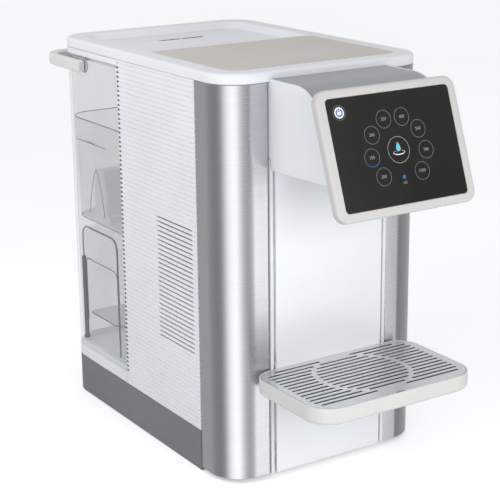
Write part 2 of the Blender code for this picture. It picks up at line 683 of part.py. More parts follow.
def hoses():
    """Water runs from the tank to the pump, heater or chilled tank, valve block and nozzle."""
    hose("tank_hose", [(0.0, 0.1592, 0.070), (0.0, 0.150, 0.070), (0.020, 0.150, 0.068),
                       (0.045, 0.141, 0.060), (0.054, 0.132, 0.050), (0.047, 0.130, 0.042),
                       (0.0350, 0.130, 0.042)])
    hose("heater_feed_hose", [(0.014, 0.1106, 0.042), (0.014, 0.100, 0.042), (0.026, 0.076, 0.056),
                              (0.040, 0.061, 0.090), (0.040, 0.060, 0.108), (0.040, 0.060, 0.1192)])
    hose("chiller_feed_hose", [(0.018, 0.130, 0.0613), (0.018, 0.130, 0.070), (0.004, 0.116, 0.088),
                               (-0.026, 0.090, 0.098), (-0.033, 0.085, 0.112), (-0.033, 0.085, 0.1231)])
    hose("hot_hose", [(0.040, 0.060, 0.2629), (0.040, 0.060, 0.273), (0.043, 0.044, 0.287),
                      (0.044, 0.026, 0.293), (0.037, 0.018, 0.294), (0.0269, 0.018, 0.294)])
    hose("cold_hose", [(-0.033, 0.085, 0.1969), (-0.033, 0.085, 0.212), (-0.036, 0.064, 0.250),
                       (-0.042, 0.032, 0.286), (-0.037, 0.018, 0.294), (-0.0269, 0.018, 0.294)])
    hose("outlet_hose", [(0.0, 0.0041, 0.299), (0.0, -0.004, 0.299), (0.0, -0.024, 0.309),
                         (0.0, -0.040, 0.311), (0.0, -0.048, 0.303), (0.0, -0.048, 0.2933)])


# ---------------------------------------------------------------- drip tray
def tray_outline(inset):
    return rounded(TRAY_HALF, TRAY_FRONT, TRAY_BACK, TRAY_FRONT_RADIUS, TRAY_BACK_RADIUS, inset)


def drip_tray():
    rim, ledge = 0.0015, 0.0045
    seat = TRAY_TOP - 0.0018
    levels = [(TRAY_FLOOR, 0.0034), (TRAY_FLOOR + 0.0010, 0.0010), (TRAY_FLOOR + 0.0034, 0.0),
              (TRAY_TOP, 0.0), (TRAY_TOP, rim), (seat, rim), (seat, ledge),
              (TRAY_FLOOR + 0.0040, ledge + 0.0010), (TRAY_FLOOR + 0.0022, ledge + 0.0034)]
    tray = stack("drip_tray", levels, tray_outline, "warm_white_plastic")
    centre = (PANEL_HALF + STRIP_INNER) / 2
    low, high = SLOT_HEIGHTS
    wall_front, wall_back, tip, tab = TRAY_BACK - 0.0012, TRAY_BACK - 0.0001, 0.0072, 0.0038
    outline = [(wall_front, low), (tip, low + GAP), (tip, low + tab), (wall_back, low + tab),
               (wall_back, high + GAP), (tip, high + GAP), (tip, high + tab), (wall_front, high + tab)]
    for name, side in (("hook_left", -1), ("hook_right", 1)):
        fuse(tray, prism(name, outline, "X", side * centre - 0.0007, side * centre + 0.0007))


def row_spans(y):
    """x stretches of one row of grille slots: outside the plain ring, then inside it."""
    limit = TRAY_HALF - 0.0077
    for radius, centre_y, outward in ((TRAY_FRONT_RADIUS, TRAY_FRONT + TRAY_FRONT_RADIUS, -1),
                                      (TRAY_BACK_RADIUS, TRAY_BACK - TRAY_BACK_RADIUS, 1)):
        reach = max(outward * (y - centre_y), 0.0)
        corner = radius - 0.0077
        limit = min(limit, TRAY_HALF - radius + math.sqrt(max(corner ** 2 - reach ** 2, 0.0)))
    inner, outer = (math.sqrt(max(radius ** 2 - (y - GRILLE_CENTRE) ** 2, 0.0)) for radius in GRILLE_RING)
    if outer < 0.004:
        return [(-limit, limit)]
    spans = [(-limit, -outer), (outer, limit)]
    if inner > 0.004:
        spans.append((-inner, inner))
    return spans


def grille_cutter():
    """Every slot of the grille, each with chamfered ends."""
    shape = bmesh.new()
    half = GRILLE_SLOT_HALF
    corner, straight = half * 0.6, half * 0.4
    for i in range(GRILLE_SLOTS):
        y = GRILLE_FIRST - i * GRILLE_PITCH
        for left, right in row_spans(y):
            outline = [(left, y - straight), (left + corner, y - half), (right - corner, y - half),
                       (right, y - straight), (right, y + straight), (right - corner, y + half),
                       (left + corner, y + half), (left, y + straight)]
            rings = [[shape.verts.new((x, depth, height)) for x, depth in outline]
                     for height in (0.094, 0.102)]
            shape.faces.new(rings[0])
            shape.faces.new(rings[1])
            for j in range(len(outline)):
                k = (j + 1) % len(outline)
                shape.faces.new((rings[0][j], rings[0][k], rings[1][k], rings[1][j]))
    return add_mesh("grille_slots", shape)


def drip_grille():
    plate = prism("drip_grille", tray_outline(0.0018), "Z", TRAY_TOP - 0.0015, TRAY_TOP - 0.0001, "steel")
    notch = box("finger_notch", (-0.0055, TRAY_FRONT, 0.090), (0.0055, TRAY_FRONT + 0.0044, 0.110))
    cut(plate, grille_cutter(), notch)


# ---------------------------------------------------------------- water tank
def tank_outline(inset):
    return rounded(TANK_HALF, TANK_FRONT, TANK_BACK, 0.004, 0.0274, inset)


def tank_body():
    levels = [(TANK_FLOOR, 0.0015), (TANK_FLOOR + 0.0015, 0.0), (TANK_TOP, 0.0), (TANK_TOP, TANK_WALL),
              (TANK_FLOOR + 0.0040, TANK_WALL), (TANK_FLOOR + 0.0030, TANK_WALL + 0.0010)]
    tank = stack("tank_body", levels, tank_outline, "clear_plastic")
    profile = [(0.180, 0.0070), (0.190, 0.0070)]
    cut(tank, turned("outlet_hole", profile, "Y", (0.0, OUTLET_HEIGHT), steps=20))


def tank_lid():
    """White lid, seen as the band above the clear tank, with the fill opening in it."""
    low, high = TANK_TOP + GAP, SKIN_TOP - 0.0002

    opening = rounded(0.0680, 0.2400, 0.2790, 0.008, 0.008)
    levels = [(low, tank_outline(-GAP)), (high, tank_outline(-GAP)), (high, opening),
              (low + 0.001, opening), (low + 0.001, tank_outline(0.0060)),
              (low - 0.0040, tank_outline(0.0052)),
              (low - 0.0040, tank_outline(0.0032)), (low, tank_outline(0.0030))]
    rings = [[(x, y, height) for x, y in outline] for height, outline in levels]
    skin("tank_lid", rings, "white_plastic", closed=True)


def raw_water_reservoir():
    """Clear cup that hangs in the top of the tank and holds the filter."""
    top, floor = 0.2798, 0.1790

    def outline(inset):
        return rounded(0.1010, 0.1880, 0.3000, 0.003, 0.0238, inset)
    levels = [(floor, 0.0040), (floor + 0.0020, 0.0024), (top, 0.0), (top, 0.0016),
              (floor + 0.0030, 0.0042), (floor + 0.0016, 0.0056)]
    cup = stack("raw_water_reservoir", levels, outline, "clear_plastic")
    cut(cup, turned("filter_outlet", [(0.17, 0.0080), (0.19, 0.0080)], "Z", (0.0, 0.246), steps=12))


def filter_cartridge():
    """Peaked cartridge lying across the reservoir."""
    base = 0.1810
    outline = [(0.2290, base), (0.2640, base), (0.2640, base + 0.0060), (0.2612, base + 0.0100),
               (0.2570, base + 0.0440), (0.2520, base + 0.0510), (0.2470, base + 0.0520),
               (0.2430, base + 0.0460), (0.2370, base + 0.0240), (0.2330, base + 0.0100),
               (0.2290, base + 0.0060)]
    prism("filter_cartridge", outline, "X", -0.0940, 0.0940, "filter_white")


def filtered_water_chamber():
    """Clear round-shouldered hood in the lower part of the tank, open underneath."""
    low, high, shoulder, thickness = 0.0530, 0.1726, 0.0110, 0.0020

    def outline(inset):
        return rounded(0.1008, 0.2040, 0.2780, 0.005, 0.005, inset, 3)
    levels = [(high - thickness, shoulder + 0.001), (high - shoulder, thickness), (low, thickness),
              (low, 0.0)]
    for angle in range(0, 91, 18):
        turn = math.radians(angle)
        levels.append((high - shoulder + shoulder * math.sin(turn), shoulder * (1 - math.cos(turn))))
    hood = stack("filtered_water_chamber", levels, outline, "clear_plastic")
    cut(hood, turned("chamber_inlet", [(0.165, 0.0080), (0.180, 0.0080)], "Z", (0.0, 0.2400), steps=12))


def tank_outlet_valve():
    """Bush in the tank's front wall and the sprung plunger that closes it."""
    profile = [(0.1833, 0.0034), (0.1833, 0.0067), (0.1865, 0.0067), (0.1865, 0.0100), (0.1890, 0.0100),
               (0.1890, 0.0067), (0.1945, 0.0067), (0.1945, 0.0060), (0.1900, 0.0060), (0.1875, 0.0034)]
    turned("outlet_valve_seat", profile, "Y", (0.0, OUTLET_HEIGHT), "white_plastic", 16, hollow=True)
    profile = [(0.1829, 0.0024), (0.1878, 0.0029), (0.1902, 0.0054), (0.1912, 0.0054)]
    plunger = turned("outlet_valve_plunger", profile, "Y", (0.0, OUTLET_HEIGHT), "silicone", 16)
    set_origin(plunger, (0.0, 0.1829, OUTLET_HEIGHT))


def level_probe():
    """Slim dark probe that stands in the tank's rear corner."""
    profile = [(0.0513, 0.0030), (0.0530, 0.0030), (0.0530, 0.0021), (0.1370, 0.0021), (0.1378, 0.0014)]
    turned("level_probe", profile, "Z", (-0.0965, 0.2838), "dark_plastic", 12)


def handle_path(half, back, radius):
    """From the left arm's end round the back to the right arm's end."""
    centre_x, centre_y, arm = half - radius, back - radius, HANDLE_AXIS[0] + 0.02
    return ([(-half, HANDLE_END), (-half, arm)] + arc((-centre_x, centre_y), radius, 180, 90, 8)
            + arc((centre_x, centre_y), radius, 90, 0, 8) + [(half, arm), (half, HANDLE_END)])


def tank_handle():
    """Carrying bail: slim arms on the pivots and a broader bar behind the tank."""
    outer, inner = handle_path(*HANDLE_OUTER), handle_path(*HANDLE_INNER)
    low = HANDLE_AXIS[1] - HANDLE_HEIGHT / 2
    edge = 0.12
    profile = [(0.0, 1 - edge), (edge, 1.0), (1 - edge, 1.0), (1.0, 1 - edge),
               (1.0, edge), (1 - edge, 0.0), (edge, 0.0), (0.0, edge)]
    rings = []
    for (outer_x, outer_y), (inner_x, inner_y) in zip(outer, inner):
        rings.append([(outer_x + (inner_x - outer_x) * across, outer_y + (inner_y - outer_y) * across,
                       low + HANDLE_HEIGHT * up) for across, up in profile])
    handle = skin("tank_handle", rings, "warm_white_plastic")
    for name, side in (("pivot_bore_left", -1), ("pivot_bore_right", 1)):
        profile = [(side * 0.1050, 0.0035), (side * 0.1115, 0.0035)]
        cut(handle, turned(name, profile, "X", HANDLE_AXIS, steps=16))
    set_origin(handle, (0.0, *HANDLE_AXIS))


def handle_pivots():
    for name, side in (("handle_pivot_left", -1), ("handle_pivot_right", 1)):
        profile = [(side * 0.1047, 0.0068), (side * 0.1061, 0.0068), (side * 0.1067, 0.0060),
                   (side * 0.1067, 0.0032), (side * 0.1108, 0.0032), (side * 0.1112, 0.0027)]
        turned(name, profile, "X", HANDLE_AXIS, "steel", 16)


# ---------------------------------------------------------------- whole machine
def stand_on_counter():
    for item in bpy.data.objects:
        item.location.y += CENTRE_SHIFT
        item.location.z -= COUNTER


def main():
    clear_scene()
    for build in (steel_panels, side_panels, rear_skirt, base_plinth, bottom_plate, feet, front_frame,
                  front_panel, head_shell, head_top_sheet, outlet_nozzle, display_bezel,
                  display_glass, touch_board, top_cover, top_inset, fill_flap, flap_hinge_pin, bay_wall,
                  tank_deck, docking_port, water_pump, pump_bracket, water_heater, heater_clamps, chiller,
                  fan_rotor, electrics, mains_inlet, hoses, drip_tray, drip_grille, tank_body, tank_lid,
                  raw_water_reservoir, filter_cartridge, filtered_water_chamber, tank_outlet_valve,
                  level_probe, tank_handle, handle_pivots):
        build()
    stand_on_counter()


main()
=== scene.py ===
"""Looks of the countertop water dispenser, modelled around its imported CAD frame.

Metres, +Z up, the user at -Y.  Every place comes from the boxes of the CAD nodes; the numbers
kept here are the finer ones that a box doesn't say: radii, wall thicknesses and pitches.
"""
import json
import math

import bmesh
import bpy
from mathutils import Matrix, Vector

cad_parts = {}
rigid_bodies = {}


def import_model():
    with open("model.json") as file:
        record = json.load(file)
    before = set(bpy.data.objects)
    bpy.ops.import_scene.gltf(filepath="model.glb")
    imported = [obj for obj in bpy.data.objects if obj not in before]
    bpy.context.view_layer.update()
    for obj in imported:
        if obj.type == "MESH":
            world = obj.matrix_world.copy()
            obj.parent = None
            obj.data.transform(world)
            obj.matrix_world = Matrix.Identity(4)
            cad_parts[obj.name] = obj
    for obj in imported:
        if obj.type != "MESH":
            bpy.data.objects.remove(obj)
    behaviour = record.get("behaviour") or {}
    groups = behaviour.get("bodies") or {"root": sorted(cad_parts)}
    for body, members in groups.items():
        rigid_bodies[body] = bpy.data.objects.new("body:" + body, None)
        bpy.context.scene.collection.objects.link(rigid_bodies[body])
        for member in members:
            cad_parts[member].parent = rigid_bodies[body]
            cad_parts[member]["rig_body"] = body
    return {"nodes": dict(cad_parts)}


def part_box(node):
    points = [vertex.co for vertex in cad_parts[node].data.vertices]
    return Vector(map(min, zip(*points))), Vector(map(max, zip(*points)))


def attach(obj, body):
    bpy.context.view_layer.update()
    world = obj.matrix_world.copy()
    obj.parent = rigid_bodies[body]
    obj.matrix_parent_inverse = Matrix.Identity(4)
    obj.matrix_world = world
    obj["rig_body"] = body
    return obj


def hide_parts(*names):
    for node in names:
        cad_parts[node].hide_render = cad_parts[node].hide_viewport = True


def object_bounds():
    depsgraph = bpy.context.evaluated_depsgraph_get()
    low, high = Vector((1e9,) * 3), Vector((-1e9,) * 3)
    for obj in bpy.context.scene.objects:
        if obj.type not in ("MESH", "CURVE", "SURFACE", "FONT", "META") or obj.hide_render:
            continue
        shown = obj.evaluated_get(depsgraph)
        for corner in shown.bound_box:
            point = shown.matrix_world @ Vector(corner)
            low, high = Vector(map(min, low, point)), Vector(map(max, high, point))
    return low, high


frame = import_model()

cad_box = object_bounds()

# ---------------------------------------------------------------- finer sizes
GAP = 0.0003                    # clearance kept between neighbouring pieces
FRONT_RADIUS = 0.030            # plan corners of the body
BACK_RADIUS = 0.028
STEEL_THICKNESS = 0.0012
FOLD_RADIUS = 0.0016            # the steel's edges are folded inwards
FOLD_DEPTH = 0.0045

RIB_PITCH = 0.00428
RIB_START = 0.0013              # first groove above the lower edge of the side panel
RIB_DEPTH = 0.0009
RIB_HALF = 0.00048
PANEL_THICKNESS = 0.0024
VENT_COUNT = 27
VENT_FIRST_RIB = 16
VENT_REACH = (0.0545, 0.1162)   # behind the steel's front face
VENT_HALF = 0.0008
SHADE_DOT_LENGTH = 0.0026            # painted shade: dark dots along the rear edge of the side panel, where the grooves end
SHADE_DOT_HALF = 0.0010

DISPLAY_TILT = math.radians(19.75)
GLASS_FRONT = 0.0007            # the glass's face, in front of the middle of its thickness
KEY_RING = 0.0273               # the keys stand on a circle of this radius
KEY_DROP = 0.0018               # and its centre is this far below the display's
KEYS = (("350", 109.3), ("400", 70.7), ("500", 32.1), ("700", -6.5),
        ("1000", -45.1), ("200", 225.1), ("250", 186.5), ("300", 147.9))

left_low, left_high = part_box("steel_panel_left")
HALF, CHANNEL = -left_low.x, -left_high.x
FACE, SEAM = left_low.y, left_high.y
SKIN_LOW, SKIN_TOP = left_low.z, left_high.z
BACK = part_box("top_cover")[1].y


# ---------------------------------------------------------------- node materials
def tone(red, green, blue):
    """Linear colour of a display colour given from 0 to 255."""
    def linear(value):
        value /= 255
        return value / 12.92 if value <= 0.04045 else ((value + 0.055) / 1.055) ** 2.4
    return (linear(red), linear(green), linear(blue), 1.0)


class Graph:
    """The nodes of a new material or world, and short ways to add to them."""

    def __init__(self, name, kind="materials", shader="Principled BSDF", place="Object"):
        self.owner = getattr(bpy.data, kind).new(name)
        self.owner.use_nodes = True
        self.tree = self.owner.node_tree
        self.shader = self.tree.nodes[shader]
        self.place = self.add("TexCoord").outputs[place]

    def add(self, kind, inputs=(), **settings):
        node = self.tree.nodes.new("ShaderNode" + kind)
        for name, value in settings.items():
            setattr(node, name, value)
        for name, value in dict(inputs).items():
            self.put(node, name, value)
        return node

    def put(self, node, name, value):
        if isinstance(value, bpy.types.NodeSocket):
            self.tree.links.new(value, node.inputs[name])
        else:
            node.inputs[name].default_value = value

    def noise(self, scale, stretch=(1, 1, 1), detail=3.0, roughness=0.55):
        """Noise through the object; stretch multiplies the frequency along each axis."""
        moved = self.add("VectorMath", {0: self.place, 1: stretch}, operation="MULTIPLY")
        made = self.add("TexNoise", {"Vector": moved.outputs[0], "Scale": scale, "Detail": detail,
                                     "Roughness": roughness})
        return made.outputs["Fac"]

    def span(self, value, low, high, start=0.3, end=0.7):
        """Maps start..end to low..high."""
        made = self.add("MapRange", {"Value": value, "From Min": start, "From Max": end,
                                     "To Min": low, "To Max": high})
        return made.outputs["Result"]

    def mix(self, factor, first, second):
        return self.add("Mix", {0: factor, 6: first, 7: second}, data_type="RGBA").outputs[2]

    def bump(self, height, distance, strength=1.0, base=None):
        made = self.add("Bump", {"Height": height, "Distance": distance, "Strength": strength})
        if base:
            self.put(made, "Normal", base)
        return made.outputs["Normal"]


SOCKETS = {"colour": "Base Color", "roughness": "Roughness", "metallic": "Metallic",
           "normal": "Normal", "coat": "Coat Weight", "coat_roughness": "Coat Roughness",
           "ior": "IOR", "alpha": "Alpha", "anisotropic": "Anisotropic", "tangent": "Tangent",
           "emission": "Emission Color", "glow": "Emission Strength",
           "specular": "Specular IOR Level"}


def shade(graph, **values):
    for name, value in values.items():
        graph.put(graph.shader, SOCKETS[name], value)
    return graph.owner


def shifted(colour, factor):
    return tuple(min(channel * factor, 1.0) for channel in colour[:3]) + (1.0,)


def plastic(name, colour, roughness, grain=0.00035, relief=0.000012, uneven=0.03, coat=0.0,
            glow=0.0):
    """Moulded plastic: fine spark-eroded grain, slow colour drift, faint rub marks and dust."""
    graph = Graph(name)
    drift = graph.span(graph.noise(9.0, detail=2.0), 0.0, 1.0)
    body = graph.mix(drift, shifted(colour, 1 - uneven), shifted(colour, 1 + uneven))
    speck = graph.span(graph.noise(1 / (grain * 2.2), detail=1.0), 0.0, 0.06, 0.62, 0.75)
    body = graph.mix(speck, body, shifted(colour, 0.72))
    rubs = graph.noise(38.0, (1.0, 1.0, 5.0), detail=6.0, roughness=0.7)
    gloss = graph.span(rubs, roughness - 0.05, roughness + 0.07)
    height = graph.noise(1 / grain, detail=2.0)
    waves = graph.bump(graph.noise(22.0, detail=1.0), 0.00018)
    return shade(graph, colour=body, roughness=gloss, coat=coat, coat_roughness=0.12,
                 emission=body, glow=glow, normal=graph.bump(height, relief, base=waves))


def brushed(name, colour, roughness, stretch, tangent, anisotropic=0.88, relief=0.000006):
    """Brushed metal: long streaks along the brushing, and highlights drawn out across it."""
    graph = Graph(name)
    streaks = graph.noise(1.0, stretch, detail=5.0, roughness=0.72)
    fine = graph.noise(2.7, stretch, detail=3.0, roughness=0.6)
    body = graph.mix(graph.span(streaks, 0.0, 1.0), shifted(colour, 0.955), shifted(colour, 1.035))
    stains = graph.span(graph.noise(16.0, detail=4.0), 0.0, 0.22, 0.55, 0.8)
    body = graph.mix(stains, body, shifted(colour, 0.93))
    gloss = graph.span(fine, roughness - 0.03, roughness + 0.04)
    axis = graph.add("CombineXYZ", {0: tangent[0], 1: tangent[1], 2: tangent[2]}).outputs[0]
    return shade(graph, colour=body, roughness=gloss, metallic=1.0, anisotropic=anisotropic,
                 tangent=axis, normal=graph.bump(streaks, relief))


def cast(name, colour, roughness, metallic, grain=0.0006, relief=0.00003):
    """Satin or cast metal and painted parts: even grain with slightly worn, brighter patches."""
    graph = Graph(name)
    patches = graph.noise(30.0, detail=6.0, roughness=0.65)
    body = graph.mix(graph.span(patches, 0.0, 1.0), shifted(colour, 0.92), shifted(colour, 1.08))
    gloss = graph.span(patches, roughness - 0.06, roughness + 0.06)
    height = graph.noise(1 / grain, detail=3.0)
    return shade(graph, colour=body, roughness=gloss, metallic=metallic,
                 normal=graph.bump(height, relief))


def clear(name, colour, low, high, roughness=0.07):
    """Clear moulded wall, denser where it is seen edge on, with faint flow marks."""
    graph = Graph(name)
    edge = graph.add("LayerWeight", {"Blend": 0.32}).outputs["Facing"]
    flow = graph.noise(12.0, (1.0, 1.0, 0.35), detail=3.0)
    body = graph.mix(graph.span(flow, 0.0, 1.0), shifted(colour, 0.97), shifted(colour, 1.03))
    film = graph.span(edge, low, high, 0.60, 0.98)
    haze = graph.span(flow, -0.02, 0.02)
    cover = graph.add("Math", {0: film, 1: haze}, operation="ADD", use_clamp=True).outputs[0]
    return shade(graph, colour=body, roughness=graph.span(flow, roughness, roughness + 0.05),
                 alpha=cover, normal=graph.bump(flow, 0.0002))


def matting(name, colour):
    """Soft-touch mat: pebbled fine grain, and painted shade that darkens the bottom of its pores."""
    graph = Graph(name)
    pores = graph.add("TexVoronoi", {"Vector": graph.place, "Scale": 1500.0}).outputs["Distance"]
    drift = graph.span(graph.noise(14.0, detail=4.0), 0.0, 1.0)
    body = graph.mix(drift, shifted(colour, 0.975), shifted(colour, 1.02))
    # Painted shade: darker towards the middle of each pore.
    body = graph.mix(graph.span(pores, 0.16, 0.0, 0.1, 0.5), body, shifted(colour, 0.8))
    gloss = graph.span(graph.noise(60.0, detail=5.0), 0.52, 0.68)
    return shade(graph, colour=body, roughness=gloss, normal=graph.bump(pores, 0.00004, 0.6))


def circuit(name):
    """Green board with copper tracks and pale pads."""
    graph = Graph(name)
    cells = graph.add("TexVoronoi", {"Vector": graph.place, "Scale": 260.0}, distance="CHEBYCHEV")
    track = graph.span(cells.outputs["Distance"], 1.0, 0.0, 0.30, 0.36)
    body = graph.mix(track, tone(20, 92, 52), tone(38, 124, 74))
    pads = graph.span(graph.noise(700.0, detail=0.0), 0.0, 1.0, 0.68, 0.72)
    body = graph.mix(pads, body, tone(196, 190, 170))
    return shade(graph, colour=body, roughness=graph.span(pads, 0.5, 0.25, 0.0, 1.0),
                 normal=graph.bump(track, 0.00004))


def glass(name, lift=1.0):
    """Black printed glass with a trace of wiping marks in its reflection."""
    graph = Graph(name)
    wiped = graph.noise(26.0, (1.0, 2.5, 1.0), detail=5.0, roughness=0.65)
    body = graph.mix(graph.span(wiped, 0.0, 1.0), shifted(tone(17, 16, 13), lift),
                     shifted(tone(21, 20, 17), lift))
    return shade(graph, colour=body, roughness=graph.span(wiped, 0.07, 0.15), specular=0.42,
                 normal=graph.bump(wiped, 0.00003))


def lit(name, colour, glow, uneven=0.12):
    """Printed or back-lit graphics on the display."""
    graph = Graph(name)
    light = graph.span(graph.noise(900.0, detail=2.0), 0.0, 1.0)
    body = graph.mix(light, shifted(colour, 1 - uneven), shifted(colour, 1 + uneven))
    return shade(graph, colour=body, emission=body, glow=glow,
                 roughness=graph.span(light, 0.3, 0.42, 0.0, 1.0))


LOOKS = {
    "white_plastic": plastic("white_plastic_look", tone(236, 238, 242), 0.36),
    "warm_white_plastic": plastic("warm_white_look", tone(218, 217, 215), 0.38),
    "pale_grey_plastic": plastic("pale_grey_look", tone(233, 235, 238), 0.42),
    "steel": brushed("brushed_steel_look", tone(202, 203, 206), 0.26, (4.0, 4.0, 2300.0), (0, 0, 1)),
    "satin_grey": cast("satin_grey_look", tone(168, 171, 176), 0.34, 0.75, 0.0005, 0.00001),
    "plinth_grey": plastic("plinth_look", tone(122, 124, 128), 0.46, 0.0005, 0.00003, 0.04),
    "beige_mat": matting("beige_mat_look", tone(214, 208, 202)),
    "clear_plastic": clear("clear_tank_look", tone(182, 187, 191), 0.12, 0.62),
    "black_glass": glass("black_glass_look"),
    "dark_plastic": plastic("dark_plastic_look", tone(52, 53, 56), 0.5, 0.0006, 0.00004, 0.08),
    "rubber": plastic("rubber_look", tone(46, 46, 47), 0.8, 0.0009, 0.00006, 0.1),
    "silicone": plastic("silicone_look", tone(216, 218, 217), 0.5, 0.0012, 0.00003),
    "aluminium": cast("aluminium_look", tone(205, 207, 210), 0.36, 1.0),
    "circuit_board": circuit("circuit_board_look"),
    "brass": cast("brass_look", tone(214, 184, 120), 0.34, 1.0),
    "filter_white": plastic("filter_look", tone(226, 232, 238), 0.4, 0.0008, 0.00003),
}
GLOSS_WHITE = plastic("gloss_white_look", tone(240, 243, 247), 0.2, 0.0009, 0.000006, 0.015, 0.6)
BEZEL_WHITE = plastic("bezel_white_look", tone(204, 203, 201), 0.38)
HANDLE_WHITE = plastic("handle_white_look", tone(226, 225, 224), 0.38)
GRILLE_STEEL = brushed("brushed_grille_look", tone(232, 233, 235), 0.34, (4.0, 2300.0, 4.0),
                       (0, 1, 0), 0.7)
HEAD_STEEL = brushed("brushed_head_look", tone(176, 179, 184), 0.33, (3.0, 2000.0, 2000.0),
                     (0, 1, 0), 0.5, 0.000004)
SEAM_CLEAR = clear("clear_seam_look", tone(146, 145, 142), 0.55, 0.8)
# Painted light: the cartridge glows, to look as bright behind the clear walls as the tank around it.
CARTRIDGE_GLOW = plastic("cartridge_glow_look", tone(154, 156, 158), 0.5, 0.0008, 0.00002, glow=1.0)
# Painted light: the frosted floor and shelf glow, standing in for the light that reaches them through
# the clear walls.
FROSTED_GLOW = plastic("frosted_floor_glow_look", tone(200, 203, 206), 0.5, 0.0008, 0.00003, glow=0.34)
INNER_CLEAR = clear("clear_cup_look", tone(176, 179, 182), 0.06, 0.75)
slot_of = {node: item.data.materials[0].name.split(".")[0] for node, item in frame["nodes"].items()}


# ---------------------------------------------------------------- meshes
def centre_of(node, axes):
    """Middle of a CAD node's box along the given axes, such as "xz"."""
    low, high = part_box(node)
    return tuple((getattr(low, axis) + getattr(high, axis)) / 2 for axis in axes)


def add_mesh(name, shape):
    bmesh.ops.recalc_face_normals(shape, faces=shape.faces)
    mesh = bpy.data.meshes.new(name)
    shape.to_mesh(mesh)
    shape.free()
    item = bpy.data.objects.new(name, mesh)
    bpy.context.scene.collection.objects.link(item)
    return item


def arc(centre, radius, start, end, steps=8):
    """Points along an arc, both ends included; angles in degrees."""
    points = []
    for i in range(steps + 1):
        angle = math.radians(start + (end - start) * i / steps)
        points.append((centre[0] + radius * math.cos(angle), centre[1] + radius * math.sin(angle)))
    return points


def rounded(half, front, back, near, far, inset=0.0, steps=14):
    """Plan outline with rounded corners, symmetric about x = 0, moved inwards by inset."""
    half, front, back = half - inset, front + inset, back - inset
    near = max(near - inset, 0.0004)
    far = max(far - inset, 0.0004)
    return (arc((half - near, front + near), near, 270, 360, steps)
            + arc((half - far, back - far), far, 0, 90, steps)
            + arc((-half + far, back - far), far, 90, 180, steps)
            + arc((-half + near, front + near), near, 180, 270, steps))


def fillet(height, inset, radius, quarter, steps=6):
    """(height, inset) levels of a rounded edge; the quarter is "top" or "bottom", taken upwards."""
    levels = []
    for i in range(steps + 1):
        angle = math.pi / 2 * i / steps
        if quarter == "top":
            levels.append((height - radius + radius * math.sin(angle),
                           inset + radius - radius * math.cos(angle)))
        else:
            levels.append((height + radius - radius * math.cos(angle),
                           inset + radius - radius * math.sin(angle)))
    return levels


def skin(name, rings, closed=False):
    """A solid skinned over rings of equal length, capped unless the rings close up."""
    shape = bmesh.new()
    loops = [[shape.verts.new(point) for point in ring] for ring in rings]
    pairs = list(zip(loops, loops[1:]))
    if closed:
        pairs.append((loops[-1], loops[0]))
    else:
        shape.faces.new(loops[0])
        shape.faces.new(loops[-1])
    for lower, upper in pairs:
        for i, vert in enumerate(lower):
            j = (i + 1) % len(lower)
            shape.faces.new((vert, lower[j], upper[j], upper[i]))
    return add_mesh(name, shape)


def along(axis, a, b, height):
    """The point of an outline drawn across an axis, at a height along that axis."""
    return {"X": (height, a, b), "Y": (a, height, b), "Z": (a, b, height)}[axis]


def prism(name, outline, axis, low, high):
    rings = [[along(axis, a, b, height) for a, b in outline] for height in (low, high)]
    return skin(name, rings)


def box(name, low, high):
    outline = ((low[0], low[1]), (high[0], low[1]), (high[0], high[1]), (low[0], high[1]))
    return prism(name, outline, "Z", low[2], high[2])


def stack(name, levels, outline_at):
    """A solid over plan outlines; each level is (height, inset)."""
    return skin(name, [[(x, y, height) for x, y in outline_at(inset)] for height, inset in levels])


def turned(name, profile, axis, centre, steps=48, hollow=False):
    """A turned solid; the profile is (distance along the axis, radius)."""
    rings = []
    for height, radius in profile:
        rings.append([along(axis, a, b, height) for a, b in arc(centre, radius, 0, 360, steps)[:-1]])
    return skin(name, rings, hollow)


def wall(name, path_at, profile):
    """A wall along an open path; the profile is (depth behind the path, height)."""
    paths = [path_at(depth) for depth, height in profile]
    rings = []
    for station in zip(*paths):
        rings.append([(x, y, height) for (x, y), (depth, height) in zip(station, profile)])
    return skin(name, rings)


def gathered(name, parts):
    """Several prisms in one mesh; each part is (outline, axis, low, high)."""
    shape = bmesh.new()
    for outline, axis, low, high in parts:
        rings = [[shape.verts.new(along(axis, a, b, height)) for a, b in outline]
                 for height in (low, high)]
        shape.faces.new(rings[0])
        shape.faces.new(rings[1])
        for i in range(len(outline)):
            j = (i + 1) % len(outline)
            shape.faces.new((rings[0][i], rings[0][j], rings[1][j], rings[1][i]))
    return add_mesh(name, shape)


def stadium(a_low, a_high, b_low, b_high, steps=5):
    """Outline of a slot with round ends; it is longer along its first coordinate."""
    radius = (b_high - b_low) / 2
    middle = (b_low + b_high) / 2
    return (arc((a_high - radius, middle), radius, -90, 90, steps * 2)
            + arc((a_low + radius, middle), radius, 90, 270, steps * 2))


def freeze(item):
    """Replaces an object's mesh with what its modifiers make of it."""
    bpy.context.view_layer.update()
    shown = item.evaluated_get(bpy.context.evaluated_depsgraph_get())
    made = bpy.data.meshes.new_from_object(shown)
    item.modifiers.clear()
    item.data = made


def carve(item, *tools, operation="DIFFERENCE"):
    """Cuts tools out of an item (or joins them to it), then removes the tools."""
    for tool in tools:
        modifier = item.modifiers.new(tool.name, "BOOLEAN")
        modifier.operation = operation
        modifier.object = tool
        modifier.solver = "EXACT"
    freeze(item)
    for tool in tools:
        bpy.data.objects.remove(tool)
    return item


def soften(item, width, segments=2, angle=34):
    """Rounds the sharp edges and keeps the flat faces flat in the shading."""
    modifier = item.modifiers.new("edges", "BEVEL")
    modifier.width = width
    modifier.segments = segments
    modifier.limit_method = "ANGLE"
    modifier.angle_limit = math.radians(angle)
    modifier.use_clamp_overlap = True
    modifier.miter_outer = "MITER_ARC"
    freeze(item)
    return item


